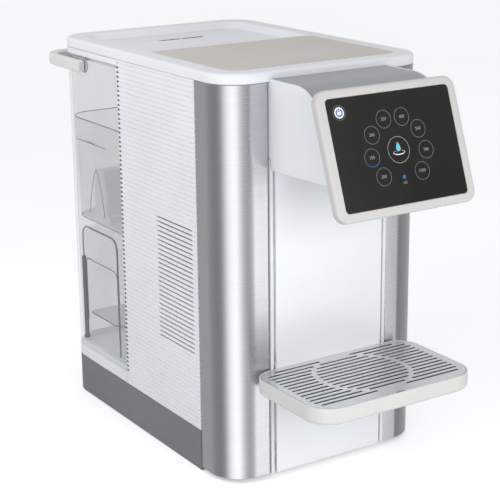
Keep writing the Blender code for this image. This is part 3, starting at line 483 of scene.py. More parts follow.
def dress(item, body, slot, look=None, angle=40):
    """Gives a piece its body, its material (the slot's look unless a look is given) and its shading."""
    item.data.materials.clear()
    item.data.materials.append(look or LOOKS[slot])
    item.data.shade_smooth()
    item.data.set_sharp_from_angle(angle=math.radians(angle))
    modifier = item.modifiers.new("normals", "WEIGHTED_NORMAL")
    modifier.keep_sharp = True
    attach(item, body)
    return item


def stand_in(item, *nodes, look=None, angle=40):
    """Shows a finer piece in place of CAD nodes, on their body, with their slot's look unless a look is
    given.
    """
    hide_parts(*nodes)
    return dress(item, frame["nodes"][nodes[0]]["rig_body"], slot_of[nodes[0]], look, angle)


# ---------------------------------------------------------------- outer body
def steel_path(side):
    def path(inset):
        points = [(-CHANNEL - inset, FACE + FOLD_DEPTH)]
        points += arc((-CHANNEL - FOLD_RADIUS, FACE + FOLD_RADIUS), FOLD_RADIUS - inset, 0, -90, 6)
        points += arc((FRONT_RADIUS - HALF, FACE + FRONT_RADIUS), FRONT_RADIUS - inset, 270, 180, 36)
        points += arc((FOLD_RADIUS - HALF, SEAM - FOLD_RADIUS), FOLD_RADIUS - inset, 180, 90, 6)
        points.append((FOLD_DEPTH - HALF, SEAM - inset))
        return [(-side * x, y) for x, y in points]
    return path


def steel_panels():
    edge = 0.0003
    profile = [(edge, SKIN_LOW), (edge * 0.3, SKIN_LOW + edge * 0.3), (0.0, SKIN_LOW + edge),
               (0.0, SKIN_TOP - edge), (edge * 0.3, SKIN_TOP - edge * 0.3), (edge, SKIN_TOP),
               (STEEL_THICKNESS, SKIN_TOP), (STEEL_THICKNESS, SKIN_LOW)]
    for name, side in (("steel_panel_left", -1), ("steel_panel_right", 1)):
        stand_in(wall("brushed_" + name, steel_path(side), profile), name, angle=50)


def back_path(start, inset):
    """From a point on the left side round the back to the same point on the right."""
    radius = BACK_RADIUS - inset
    centre_x, centre_y = HALF - BACK_RADIUS, BACK - BACK_RADIUS
    return ([(inset - HALF, start)] + arc((-centre_x, centre_y), radius, 180, 90, 30)
            + arc((centre_x, centre_y), radius, 90, 0, 30) + [(HALF - inset, start)])


def ribbed_profile(low, high, first):
    """(depth, height) outline of a wall with a rounded groove at every rib."""
    points = [(0.0004, low), (0.0001, low + 0.0001), (0.0, low + 0.0004)]
    lip = 0.00014
    count = int((high - low) / RIB_PITCH) + 1
    for i in range(count):
        height = first + i * RIB_PITCH
        if low + 0.0011 < height < high - 0.0011:
            points += [(0.0, height - RIB_HALF - lip), (0.00006, height - RIB_HALF),
                       (RIB_DEPTH * 0.8, height - RIB_HALF * 0.7), (RIB_DEPTH, height),
                       (RIB_DEPTH * 0.8, height + RIB_HALF * 0.7),
                       (0.00006, height + RIB_HALF), (0.0, height + RIB_HALF + lip)]
    return points + [(0.0, high - 0.0004), (0.0001, high - 0.0001), (0.0004, high),
                     (PANEL_THICKNESS, high), (PANEL_THICKNESS, low)]


def side_panels():
    """Ribbed panels with vents through their grooves, and dark blocks along the tank's front edge that
    are painted shade where the grooves end.
    """
    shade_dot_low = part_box("tank_body")[0].z
    for node, side in (("side_panel_left", -1), ("side_panel_right", 1)):
        low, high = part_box(node)
        profile = ribbed_profile(low.z, high.z, low.z + RIB_START)
        outline = [(side * (HALF - depth), height) for depth, height in profile]
        panel = prism("ribbed_" + node, outline, "Y", low.y, high.y)

        def crosswise(outlines, deep, proud):
            """Prisms through the panel, from a depth below its face to a height above it."""
            inner, outer = sorted((side * (HALF - deep), side * (HALF + proud)))
            return [(outline, "X", inner, outer) for outline in outlines]

        def blocks(heights, half, length, rear):
            """Outlines of small blocks at the rear edge, one at each height."""
            return [((high.y - length, height - half), (high.y + rear, height - half),
                     (high.y + rear, height + half), (high.y - length, height + half))
                    for height in heights]
        count = int((high.z - low.z - RIB_START) / RIB_PITCH) + 1
        grooves = [low.z + RIB_START + i * RIB_PITCH for i in range(count)]
        vented = grooves[VENT_FIRST_RIB:VENT_FIRST_RIB + VENT_COUNT]
        slots = [stadium(FACE + VENT_REACH[0], FACE + VENT_REACH[1],
                         height - VENT_HALF, height + VENT_HALF) for height in vented]
        shade_dot_heights = [height for height in grooves if height >= shade_dot_low]
        notches = blocks(shade_dot_heights, SHADE_DOT_HALF + 0.0001, SHADE_DOT_LENGTH + 0.0001, 0.001)
        carve(panel, gathered("vents", crosswise(slots, 0.004, 0.001)),
              gathered("notches", crosswise(notches, 0.004, 0.001)))
        stand_in(panel, node, angle=28)
        # Painted shade: dark blocks set in the notches, where each groove ends at the rear edge.
        shade_dots = crosswise(blocks(shade_dot_heights[:-1], SHADE_DOT_HALF, SHADE_DOT_LENGTH, -0.0001), 0.0021, -0.0002)
        dress(gathered(f"edge_shade_dots_{node}", shade_dots), "machine", "dark_plastic")


def rear_skirt():
    low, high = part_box("rear_skirt")
    skirt = wall("ribbed_rear_skirt", lambda inset: back_path(low.y, inset),
                 ribbed_profile(low.z, high.z, low.z + RIB_START))
    stand_in(skirt, "rear_skirt", angle=28)


def base_plinth():
    low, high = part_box("base_plinth")
    edge = 0.0005
    profile = [(edge, low.z), (edge * 0.3, low.z + edge * 0.3), (0.0, low.z + edge),
               (0.0, high.z - edge), (edge * 0.3, high.z - edge * 0.3), (edge, high.z),
               (0.003, high.z), (0.003, low.z)]
    plinth = wall("moulded_plinth", lambda inset: back_path(low.y, inset), profile)
    inlet_low, inlet_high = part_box("mains_inlet")
    window = box("inlet_window", (inlet_low.x + 0.0017, high.y - 0.014, inlet_low.z + 0.0017),
                 (inlet_high.x - 0.0017, high.y + 0.006, inlet_high.z - 0.0017))
    stand_in(carve(plinth, window), "base_plinth")


STRIP_EDGE = 0.0583             # inner edge of the two upright strips beside the front panel
HOOK_DROP = 0.0825              # the tray can also hang this much lower
HOOK_STEP = 0.0130              # from the lower hook of the tray to the upper one
HOOK_SLOT = (0.0010, 0.0101)    # half width and height of a hook's slot


def front_channel():
    low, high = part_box("front_frame")
    panel_low, panel_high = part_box("front_panel")
    floor = panel_high.y + GAP
    outline = [(low.x, low.y), (-STRIP_EDGE, low.y), (-STRIP_EDGE, floor), (STRIP_EDGE, floor),
               (STRIP_EDGE, low.y), (high.x, low.y), (high.x, high.y), (low.x, high.y)]
    channel = prism("moulded_front_frame", outline, "Z", low.z, high.z)
    middle = (panel_high.x + STRIP_EDGE) / 2
    hook_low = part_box("drip_grille")[1].z - 0.0105
    half, tall = HOOK_SLOT
    parts = []
    for side in (-1, 1):
        for drop in (0.0, HOOK_DROP):
            for step in (0.0, HOOK_STEP):
                start = hook_low + step - drop
                outline = [(side * middle - half, start), (side * middle + half, start),
                           (side * middle + half, start + tall), (side * middle - half, start + tall)]
                parts.append((outline, "Y", low.y - 0.01, high.y + 0.01))
    hook_slots = gathered("hook_slots", parts)
    head_bay = box("head_bay", (-0.07, low.y - 0.01, panel_high.z), (0.07, floor, high.z + 0.01))
    window = box("hose_window", (-0.012, low.y - 0.01, panel_high.z + 0.0063),
                 (0.012, high.y + 0.01, panel_high.z + 0.0543))
    carve(channel, hook_slots, head_bay, window)
    stand_in(soften(channel, 0.00025, 2), "front_frame")
    panel = box("moulded_front_panel", panel_low, panel_high)
    stand_in(soften(panel, 0.0006, 4), "front_panel", look=GLOSS_WHITE)


# ---------------------------------------------------------------- dispensing head
glass_low, glass_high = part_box("display_glass")
display_centre = (glass_low + glass_high) / 2
display_turn = Matrix.Rotation(math.radians(90) - DISPLAY_TILT, 4, "X")
display_place = Matrix.Translation(display_centre) @ display_turn
glass_tall = glass_high.z - glass_low.z - 2 * GLASS_FRONT * math.sin(DISPLAY_TILT)
glass_half = Vector((glass_high.x, glass_tall / 2 / math.cos(DISPLAY_TILT)))


def on_display(item):
    """Local X is the display's width, local Y runs up its face and local Z out of it."""
    item.data.transform(display_place)
    return item


def plane_y(offset, height):
    """y of the plane parallel to the display, offset behind its glass, at a height."""
    normal_y, normal_z = -math.cos(DISPLAY_TILT), math.sin(DISPLAY_TILT)
    face = display_centre.y * normal_y + display_centre.z * normal_z - offset
    return (face - height * normal_z) / normal_y


BEZEL_BACK = 0.0071             # back of the display's frame behind the middle of the glass
BEZEL_BORDER = 0.0075
BEZEL_CORNER = 0.0105
WINDOW_CORNER = 0.0034
HEAD_FRONT = BEZEL_BACK + GAP   # front of the head, behind the same middle
NOSE_RADIUS = 0.042
NOSE_REACH = 0.0375             # from the steel's face to the middle of the nose


def head_top_curve(inset, rear):
    """(y, z) points of the head's top, from the rear over the nose to the display's plane."""
    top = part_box("head_shell")[1].z
    end = 180 - math.degrees(DISPLAY_TILT)
    return [(rear, top - inset)] + arc((FACE - NOSE_REACH, top - NOSE_RADIUS),
                                       NOSE_RADIUS - inset, 90, end, 28)


def head_shell():
    """Hollow shell with a pocket for its top sheet and a hole for the nozzle."""
    low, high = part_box("head_shell")
    front_low = low.z + 0.0021
    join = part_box("front_panel")[1].z + GAP
    outline = head_top_curve(0.0, FACE - GAP)
    outline += [(plane_y(HEAD_FRONT, front_low + 0.003), front_low + 0.003),
                (plane_y(HEAD_FRONT, front_low + 0.0012) + 0.0005, front_low + 0.0012),
                (plane_y(HEAD_FRONT, front_low) + 0.0016, front_low + 0.0003),
                (plane_y(HEAD_FRONT, front_low) + 0.003, front_low), (FACE - 0.0087, low.z)]
    outline += arc((FACE - 0.0063, low.z + 0.0040), 0.0040, 270, 360, 10)
    outline += [(FACE - 0.0023, join), (high.y, join), (high.y, SKIN_TOP), (FACE - GAP, SKIN_TOP)]
    shell = prism("moulded_head_shell", outline, "X", low.x, high.x)
    sheet_low, sheet_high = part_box("head_top_sheet")
    pocket_low = sheet_low.z - 0.0004
    pocket = head_top_curve(0.0016, FACE + 0.02)
    pocket += [(plane_y(HEAD_FRONT + 0.0016, pocket_low), pocket_low), (FACE - 0.13, pocket_low),
               (FACE - 0.13, high.z + 0.04), (FACE + 0.02, high.z + 0.04)]
    pocket = prism("sheet_pocket", pocket, "X", sheet_low.x - GAP, sheet_high.x + GAP)
    floor = low.z + 0.0053
    cavity = head_top_curve(0.0046, FACE + 0.02)
    cavity += [(plane_y(HEAD_FRONT + 0.003, floor), floor), (FACE - 0.006, floor),
               (FACE - 0.006, join + 0.0035), (FACE + 0.02, join + 0.0035)]
    cavity = prism("head_hollow", cavity, "X", low.x + 0.0045, high.x - 0.0045)
    hole = turned("nozzle_hole", [(low.z - 0.01, 0.0124), (low.z + 0.0083, 0.0124)], "Z",
                  centre_of("outlet_nozzle", "xy"))
    carve(shell, pocket, cavity, hole)
    stand_in(soften(shell, 0.0007, 3), "head_shell")


def head_top_sheet():
    low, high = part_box("head_top_sheet")
    outline = (head_top_curve(0.0001, FACE - GAP) + [(plane_y(HEAD_FRONT + 0.0001, low.z), low.z)]
               + [(plane_y(HEAD_FRONT + 0.0013, low.z), low.z)]
               + head_top_curve(0.0013, FACE - GAP)[::-1])
    sheet = prism("satin_head_sheet", outline, "X", low.x, high.x)
    stand_in(soften(sheet, 0.0003, 2), "head_top_sheet", look=HEAD_STEEL)


def outlet_nozzle():
    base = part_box("outlet_nozzle")[0].z
    profile = ([(base + 0.0009, 0.0042), (base, 0.0052)]
               + [(base + z, r) for r, z in arc((0.0068, 0.0010), 0.0010, -90, -20, 4)]
               + [(base + 0.0028, 0.0096), (base + 0.0046, 0.0112), (base + 0.0058, 0.0121),
                  (base + 0.0171, 0.0121), (base + 0.0171, 0.0150), (base + 0.0193, 0.0150),
                  (base + 0.0193, 0.0060), (base + 0.0293, 0.0052), (base + 0.0293, 0.0042)])
    nozzle = turned("turned_outlet_nozzle", profile, "Z", centre_of("outlet_nozzle", "xy"), hollow=True)
    stand_in(nozzle, "outlet_nozzle")


def screen_outline(half, radius, inset=0.0, steps=16):
    return rounded(half[0], -half[1], half[1], radius, radius, inset, steps)


def display():
    bezel = (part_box("display_bezel")[1].x, glass_half.y + BEZEL_BORDER)
    window = (glass_half.x, glass_half.y)
    face, back = GLASS_FRONT + 0.0002, -BEZEL_BACK
    edge = ([(back, 0.0030), (back + 0.0002, 0.0014)] + fillet(back, 0.0, 0.0014, "bottom", 4)[1:]
            + fillet(face, 0.0, 0.0026, "top", 9))
    inside = [(face, -0.0008), (face - 0.0001, -0.00045), (face - 0.0004, -GAP),
              (face - 0.0019, -GAP), (face - 0.0019, 0.0050), (back, 0.0050)]
    rings = [[(x, y, depth) for x, y in screen_outline(half, corner, inset)]
             for half, corner, levels in ((bezel, BEZEL_CORNER, edge), (window, WINDOW_CORNER, inside))
             for depth, inset in levels]
    stand_in(on_display(skin("moulded_display_bezel", rings, closed=True)), "display_bezel",
             look=BEZEL_WHITE, angle=30)

    rings = [[(x, y, depth) for x, y in screen_outline(window, WINDOW_CORNER, inset)]
             for depth, inset in [(-GLASS_FRONT, 0.0)] + fillet(GLASS_FRONT, 0.0, 0.0003, "top", 3)]
    stand_in(on_display(skin("black_display_glass", rings)), "display_glass", angle=30)

    cover = screen_outline(window, WINDOW_CORNER, 0.0053)
    plate = prism("display_back_cover", cover, "Z", back, back + 0.0018)
    dress(on_display(soften(plate, 0.0003, 2)), "machine", "warm_white_plastic")


def ring_part(centre, outer, inner, steps=48, start=0, end=360):
    """Outline of a ring or of an arc of one, as one band of points."""
    return (arc(centre, outer, start, end, steps) + arc(centre, inner, end, start, steps))


def graphics(name, look, outlines, lift=0.0):
    """Thin printed shapes standing just proud of the glass; each outline is one closed shape."""
    low = GLASS_FRONT + 0.00002 + lift
    item = gathered(name, [(outline, "Z", low, low + 0.00003) for outline in outlines])
    return dress(on_display(item), "machine", "black_glass", look, 60)


def rings(name, look, circles, lift=0.0):
    """Closed rings; each circle is (centre, outer radius, inner radius)."""
    low = GLASS_FRONT + 0.00002 + lift
    shape = bmesh.new()
    for centre, outer, inner in circles:
        corners = [arc(centre, radius, 0, 360, 56)[:-1] for radius in (outer, outer, inner, inner)]
        loops = [[shape.verts.new((x, y, height)) for x, y in corner]
                 for corner, height in zip(corners, (low, low + 0.00003, low + 0.00003, low))]
        for loop, other in zip(loops, loops[1:] + loops[:1]):
            for i in range(len(loop)):
                j = (i + 1) % len(loop)
                shape.faces.new((loop[i], loop[j], other[j], other[i]))
    return dress(on_display(add_mesh(name, shape)), "machine", "black_glass", look, 60)


def label(name, look, words):
    """Small upright numbers; each word is (text, centre, height)."""
    shape = bmesh.new()
    for text, centre, size in words:
        curve = bpy.data.curves.new(name, "FONT")
        curve.body = text
        curve.size = size
        curve.align_x = "CENTER"
        curve.align_y = "CENTER"
        curve.extrude = 0.000015
        curve.resolution_u = 3
        item = bpy.data.objects.new(name, curve)
        bpy.context.scene.collection.objects.link(item)
        bpy.context.view_layer.update()
        made = bpy.data.meshes.new_from_object(item)
        made.transform(Matrix.Translation((centre[0], centre[1], GLASS_FRONT + 0.00004)))
        shape.from_mesh(made)
        bpy.data.objects.remove(item)
    bmesh.ops.remove_doubles(shape, verts=shape.verts, dist=0.0000005)
    return dress(on_display(add_mesh(name, shape)), "machine", "black_glass", look, 60)


def drop_outline(centre, width, bottom, tip, steps=24):
    """A water drop: a round belly drawn up to a point."""
    points = []
    radius = width / 2
    middle = bottom + radius
    for i in range(steps + 1):
        angle = math.radians(-90 + 180 * i / steps)
        reach = math.cos(angle)
        rise = math.sin(angle)
        height = middle + (rise * radius if rise < 0 else rise ** 1.5 * (tip - middle))
        points.append((centre[0] + radius * reach ** (1.0 if rise < 0 else 1.35), centre[1] + height))
    left = [(2 * centre[0] - x, y) for x, y in points[-2:0:-1]]
    return points + left


def ellipse_band(centre, half, start, end, thin, thick, steps=48):
    """An elliptical stroke, thickest in the middle of its span."""
    outer, inner = [], []
    for i in range(steps + 1):
        share = i / steps
        angle = math.radians(start + (end - start) * share)
        weight = (thin + (thick - thin) * math.sin(math.pi * share)) / 2
        for points, sign in ((outer, 1), (inner, -1)):
            points.append((centre[0] + (half[0] + sign * weight) * math.cos(angle),
                           centre[1] + (half[1] + sign * weight) * math.sin(angle)))
    return outer + inner[::-1]


def display_graphics():
    grey = lit("key_grey_look", tone(108, 109, 110), 0.05)
    pale = lit("key_pale_look", tone(150, 152, 153), 0.05)
    white = lit("icon_white_look", tone(232, 234, 238), 0.06)
    blue = lit("icon_blue_look", tone(44, 96, 160), 0.15)
    deep = lit("icon_deep_blue_look", tone(40, 78, 168), 0.15)
    cyan = lit("icon_cyan_look", tone(72, 190, 214), 0.2)
    dim = glass("key_field_look", 1.12)
    places = {}
    for text, angle in KEYS:
        turn = math.radians(angle)
        places[text] = (KEY_RING * math.cos(turn), KEY_RING * math.sin(turn) - KEY_DROP)
    middle = (0.0, -KEY_DROP)
    graphics("key_field_disc", dim, [arc((0.0, -KEY_DROP - 0.001), 0.0375, 0, 360, 72)[:-1]], -0.00001)
    rings("key_rings", grey, [(place, 0.0074, 0.00695) for place in places.values()])
    graphics("key_rings_lit_arc", blue, [ring_part(places["250"], 0.00742, 0.0069, 24, 215, 325)],
             0.00002)
    label("key_numbers", pale, [(text, place, 0.0036) for text, place in places.items()])
    rings("centre_ring", pale, [(middle, 0.0108, 0.01035)])
    graphics("drop_outline", pale, [drop_outline(middle, 0.0046, -0.0012, 0.0063)])
    graphics("drop_icon", cyan, [drop_outline(middle, 0.0039, -0.0008, 0.0052)], 0.00002)
    graphics("ripple_icon", white,
             [ellipse_band((0.0, -KEY_DROP - 0.0021), (0.0056, 0.0016), 112, 428, 0.0001, 0.00075)])
    graphics("lower_blue_dot", blue, [arc((0.0004, -0.0238), 0.0016, 0, 360, 24)[:-1]])
    label("unit_label", pale, [("ml", (0.0003, -0.0282), 0.0038)])
    icon = (-0.0499, 0.0336)
    rings("power_outer_ring", grey, [(icon, 0.0060, 0.0056)])
    graphics("power_disc", white, [arc(icon, 0.0045, 0, 360, 48)[:-1]])
    graphics("power_symbol", deep, [
        ring_part(icon, 0.0033, 0.0021, 36, 118, 422),
        [(icon[0] - 0.0005, icon[1] + 0.0004), (icon[0] + 0.0005, icon[1] + 0.0004),
         (icon[0] + 0.0005, icon[1] + 0.0034), (icon[0] - 0.0005, icon[1] + 0.0034)]], 0.00002)


# ---------------------------------------------------------------- top
BASIN = (0.1555, 0.2880)        # front and back of the basin, behind the steel's face
BASIN_DEPTH = 0.0061
BASIN_SLOPE = 0.0065            # how far its walls lean in
FLAP_OPENING = (0.2466, 0.2802)
FINGER_SLOT = (0.2428, 0.2512)
FINGER_SLOT_HALF = 0.0250
MAT_RIBS = 31


def top_cover():
    low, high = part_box("top_cover")

    def outline(inset):
        return rounded(high.x, low.y, high.y, FRONT_RADIUS, BACK_RADIUS, inset, 28)
    levels = [(low.z, 0.0003), (low.z + 0.0003, 0.0)] + fillet(high.z, 0.0, 0.0026, "top", 8)
    cover = stack("moulded_top_cover", levels, outline)

    inset_low, inset_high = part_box("top_inset")
    flap_low, flap_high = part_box("fill_flap")
    half, front, back = inset_high.x + GAP, FACE + BASIN[0], FACE + BASIN[1]
    floor, rim = high.z - BASIN_DEPTH, 0.0014
    levels = [(floor, BASIN_SLOPE + 0.0022), (floor + 0.0003, BASIN_SLOPE + 0.0008),
              (floor + 0.0010, BASIN_SLOPE - 0.0006), (high.z - 0.0012, 0.0008),
              (high.z - 0.0005, -0.0002), (high.z - 0.0001, -rim), (high.z + 0.0010, -rim)]
    basin = stack("basin", levels, lambda inset: rounded(half, front, back, 0.012, 0.020, inset, 18))
    pocket = stack("inset_pocket", [(high.z - 0.0015, 0.0), (high.z + 0.002, 0.0)],
                   lambda inset: rounded(half, inset_low.y - GAP, inset_high.y + GAP,
                                         0.014, 0.006, inset, 18))
    underside = box("cover_underside", (-0.094, FACE + 0.010, low.z - 0.01),
                    (0.094, FACE + 0.146, high.z - 0.0040))
    opening = box("flap_opening", (flap_low.x - 0.0004, FACE + FLAP_OPENING[0], low.z - 0.01),
                  (flap_high.x + 0.0004, FACE + FLAP_OPENING[1], high.z + 0.01))
    slot_front, slot_back = FACE + FINGER_SLOT[0], FACE + FINGER_SLOT[1]
    slot = prism("finger_slot", stadium(-FINGER_SLOT_HALF, FINGER_SLOT_HALF, slot_front, slot_back),
                 "Z", low.z - 0.01, high.z + 0.01)
    carve(cover, basin, pocket, underside, opening, slot)
    stand_in(soften(cover, 0.0003, 2), "top_cover", angle=32)
    # Painted shade: a dark floor under the finger slot stands in for the shadow in its recess.
    well_half = FINGER_SLOT_HALF + 0.0002
    well = stadium(-well_half, well_half, slot_front - 0.0004, FACE + FLAP_OPENING[0])
    dress(prism("finger_slot_painted_shade", well, "Z", low.z, low.z + 0.0004), "machine", "dark_plastic")


def top_mat():
    """Beige mat with shallow ribs from side to side."""
    inset_low, inset_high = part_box("top_inset")
    pitch = (inset_high.y - inset_low.y - 0.004) / MAT_RIBS
    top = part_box("top_cover")[1].z
    ridge = []
    for i in range(MAT_RIBS):
        start = inset_low.y + 0.002 + i * pitch
        ridge += [(start + pitch * share, top - drop) for share, drop in
                  ((0.0, 0.00050), (0.05, 0.00045), (0.11, 0.0), (0.89, 0.0), (0.95, 0.00045))]
    outline = ([(inset_low.y - 0.002, top - 0.01), (inset_low.y - 0.002, top - 0.00025)] + ridge
               + [(inset_high.y - 0.002, top - 0.00025), (inset_high.y + 0.002, top - 0.00025),
                  (inset_high.y + 0.002, top - 0.01)])
    ribs = prism("mat_ribs", outline, "X", -0.2, 0.2)
    levels = [(inset_low.z, 0.0)] + fillet(inset_high.z, 0.0, 0.0006, "top", 4)
    mat = stack("beige_top_mat", levels, lambda inset: rounded(
        inset_high.x, inset_low.y, inset_high.y, 0.0137, 0.0057, inset, 18))
    stand_in(carve(mat, ribs, operation="INTERSECT"), "top_inset", angle=24)


def fill_flap():
    """Thin flap on a turned pin; dark strips under its front edge, on both sides of the nub, are painted
    shade.
    """
    low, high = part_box("fill_flap")
    axis = centre_of("flap_hinge_pin", "yz")
    half = 0.0013
    front = low.y + 0.0038
    outline = ([(front + 0.0007, axis[1] - half), (front, axis[1] - half + 0.0007),
                (front, axis[1] + half - 0.0007), (front + 0.0007, axis[1] + half)]
               + arc(axis, half, 90, -90, 14))
    flap = prism("moulded_fill_flap", outline, "X", low.x, high.x)
    nub = box("flap_nub", (-0.0012, low.y, axis[1] - 0.0009), (0.0012, front + 0.002, axis[1] + 0.0009))
    carve(flap, nub, operation="UNION")
    bore = turned("flap_pin_bore", [(-0.08, 0.0009), (0.08, 0.0009)], "X", axis, 20)
    carve(flap, bore)
    stand_in(soften(flap, 0.00025, 2), "fill_flap")
    # Painted shade: dark strips under the flap's front edge, where the slot is in shadow.
    near, far = front - 0.0006, front + 0.0007
    strips = [[(side * 0.0015, near), (side * 0.0245, near), (side * 0.0245, far), (side * 0.0015, far)]
              for side in (-1, 1)]
    shadow = gathered("flap_slot_edge", [(strip, "Z", axis[1] - 0.0008, axis[1] + 0.0012)
                                         for strip in strips])
    dress(shadow, "fill_flap", "dark_plastic")
    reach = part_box("flap_hinge_pin")[1].x
    profile = [(-reach, 0.0003), (-reach + 0.0003, 0.0006), (reach - 0.0003, 0.0006), (reach, 0.0003)]
    stand_in(turned("turned_hinge_pin", profile, "X", axis, 24), "flap_hinge_pin")


# ---------------------------------------------------------------- drip tray
def drip_tray():
    low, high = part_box("drip_tray")
    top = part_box("drip_grille")[1].z + 0.0001
    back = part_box("front_panel")[0].y - GAP

    def outline(inset):
        return rounded(high.x, low.y, back, 0.024, 0.019, inset, 26)
    rim, ledge, seat = 0.0015, 0.0045, top - 0.0018
    levels = ([(low.z, 0.0036)] + fillet(low.z, 0.0, 0.0034, "bottom", 8)[1:]
              + fillet(top, 0.0, 0.0006, "top", 4)
              + [(top, rim - 0.0003), (top - 0.0003, rim), (seat, rim), (seat, ledge),
                 (low.z + 0.0040, ledge + 0.0010), (low.z + 0.0028, ledge + 0.0018),
                 (low.z + 0.0022, ledge + 0.0034)])
    tray = stack("moulded_drip_tray", levels, outline)
    middle = (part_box("front_panel")[1].x + STRIP_EDGE) / 2
    start, second = top - 0.0106, top + 0.0024
    wall_front, wall_back, tip, tab = back - 0.0012, back - 0.0001, high.y, 0.0038
    hook = [(wall_front, start), (tip, start + GAP), (tip, start + tab), (wall_back, start + tab),
            (wall_back, second + GAP), (tip, second + GAP), (tip, second + tab),
            (wall_front, second + tab)]
    hooks = gathered("hooks", [(hook, "X", side * middle - 0.0007, side * middle + 0.0007)
                               for side in (-1, 1)])
    carve(tray, hooks, operation="UNION")
    stand_in(tray, "drip_tray", angle=32)
    # Painted shade: a darker look on the tray's inner floor and walls stands in for the shade inside the
    # tray, so the grille's slots look dark.
    tray.data.materials.append(plastic("tray_floor_painted_shade_look", tone(84, 85, 88), 0.5, 0.0006, 0.00004))
    centre = Vector((0.0, (low.y + back) / 2, 0.0))
    for face in tray.data.polygons:
        inward = (centre - face.center).xy.dot(face.normal.xy) > 0.0
        if low.z + 0.0018 < face.center.z < seat - 0.0001 and (
                face.normal.z > 0.9 or inward and face.center.y < back - 0.0035):
            face.material_index = 1


GRILLE_ROWS = 14
GRILLE_PITCH = 0.00625
GRILLE_FIRST = 0.0096           # first row in front of the steel's face
GRILLE_SLOT_HALF = 0.0013
GRILLE_RING = (0.0395, 0.0435)
GRILLE_CENTRE = 0.050


def row_spans(y, half, front, back):
    """x stretches of one row of slots: outside the plain ring, then inside it."""
    margin = 0.0062
    limit = half - margin
    for radius, centre_y, outward in ((0.0225, front + 0.0225, -1), (0.0175, back - 0.0175, 1)):
        reach = max(outward * (y - centre_y), 0.0)
        limit = min(limit, half - radius + math.sqrt(max((radius - margin) ** 2 - reach ** 2, 0.0)))
    offset = y - (FACE - GRILLE_CENTRE)
    inner, outer = (math.sqrt(max(radius ** 2 - offset ** 2, 0.0)) for radius in GRILLE_RING)
    if outer < 0.004:
        return [(-limit, limit)]
    spans = [(-limit, -outer), (outer, limit)]
    if inner > 0.004:
        spans.append((-inner, inner))
    return spans


def drip_grille():
    low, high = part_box("drip_grille")

    def outline(inset):
        return rounded(high.x, low.y, high.y, 0.0222, 0.0172, inset, 26)
    plate = prism("brushed_drip_grille", outline(0.0), "Z", low.z, high.z)
    parts = []
    for i in range(GRILLE_ROWS):
        y = FACE - GRILLE_FIRST - i * GRILLE_PITCH
        for left, right in row_spans(y, high.x, low.y, high.y):
            slot = stadium(left, right, y - GRILLE_SLOT_HALF, y + GRILLE_SLOT_HALF, 4)
            parts.append((slot, "Z", low.z - 0.005, high.z + 0.005))
    notch = stadium(-0.0055, 0.0055, low.y - 0.004, low.y + 0.0026, 5)
    parts.append((notch, "Z", low.z - 0.005, high.z + 0.005))
    carve(plate, gathered("grille_slots", parts))
    stand_in(soften(plate, 0.0002, 2), "drip_grille", look=GRILLE_STEEL)


# ---------------------------------------------------------------- water tank
LID_OPENING = (0.2400, 0.2790)  # front and back, behind the steel's face
LID_OPENING_HALF = 0.0680
CUP_DRAIN = 0.246               # behind the steel's face, as is the chamber's inlet
CHAMBER_INLET = 0.2400
PORT_RADIUS = 0.0080
CHAMBER_CORNER = 0.0110
SHELF_HEIGHT = 0.0290           # above the foot of the chamber
LEVEL_HEIGHT = 0.2131           # fill line above the deck
LEVEL_LINE = (0.212, 0.273)     # its ends behind the steel's face
LEVEL_TICKS = 6
TICK_START = 0.2340
TICK_PITCH = 0.0028


def frost(item, height):
    """Frosts the level faces of a clear piece below a height; the frosted look glows with painted light.
    """
    item.data.materials.append(FROSTED_GLOW)
    for face in item.data.polygons:
        if face.center.z < height and abs(face.normal.z) > 0.5:
            face.material_index = 1


def tank_outline(node, inset):
    low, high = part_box(node)
    return rounded(high.x, low.y, high.y, 0.004, 0.0274, inset, 24)


def tank_body():
    low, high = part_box("tank_body")
    thick = 0.0026
    levels = ([(low.z, 0.0024)] + fillet(low.z, 0.0, 0.0020, "bottom", 5)[1:]
              + fillet(high.z, 0.0, 0.0004, "top", 2)
              + [(high.z, thick), (low.z + 0.0050, thick), (low.z + 0.0036, thick + 0.0006),
                 (low.z + 0.0030, thick + 0.0020)])
    body = stack("clear_tank_body", levels, lambda inset: tank_outline("tank_body", inset))
    hole = turned("outlet_hole", [(low.y - 0.004, 0.0070), (low.y + 0.006, 0.0070)], "Y",
                  centre_of("outlet_valve_seat", "xz"), 32)
    stand_in(carve(body, hole), "tank_body")
    frost(body, low.z + 0.0045)


def tank_lid():
    low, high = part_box("tank_lid")
    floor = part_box("tank_body")[1].z + GAP
    opening = rounded(LID_OPENING_HALF, FACE + LID_OPENING[0], FACE + LID_OPENING[1],
                      0.008, 0.008, 0.0, 24)
    levels = [(floor, -GAP), (high.z - 0.0005, -GAP), (high.z, 0.0002), (high.z, None),
              (floor + 0.001, None), (floor + 0.001, 0.0060), (low.z, 0.0052), (low.z, 0.0032),
              (floor, 0.0030)]
    rings_of_lid = []
    for height, inset in levels:      # None stands for the edge of the opening
        ring = opening if inset is None else tank_outline("tank_lid", inset)
        rings_of_lid.append([(x, y, height) for x, y in ring])
    stand_in(skin("moulded_tank_lid", rings_of_lid, closed=True), "tank_lid")


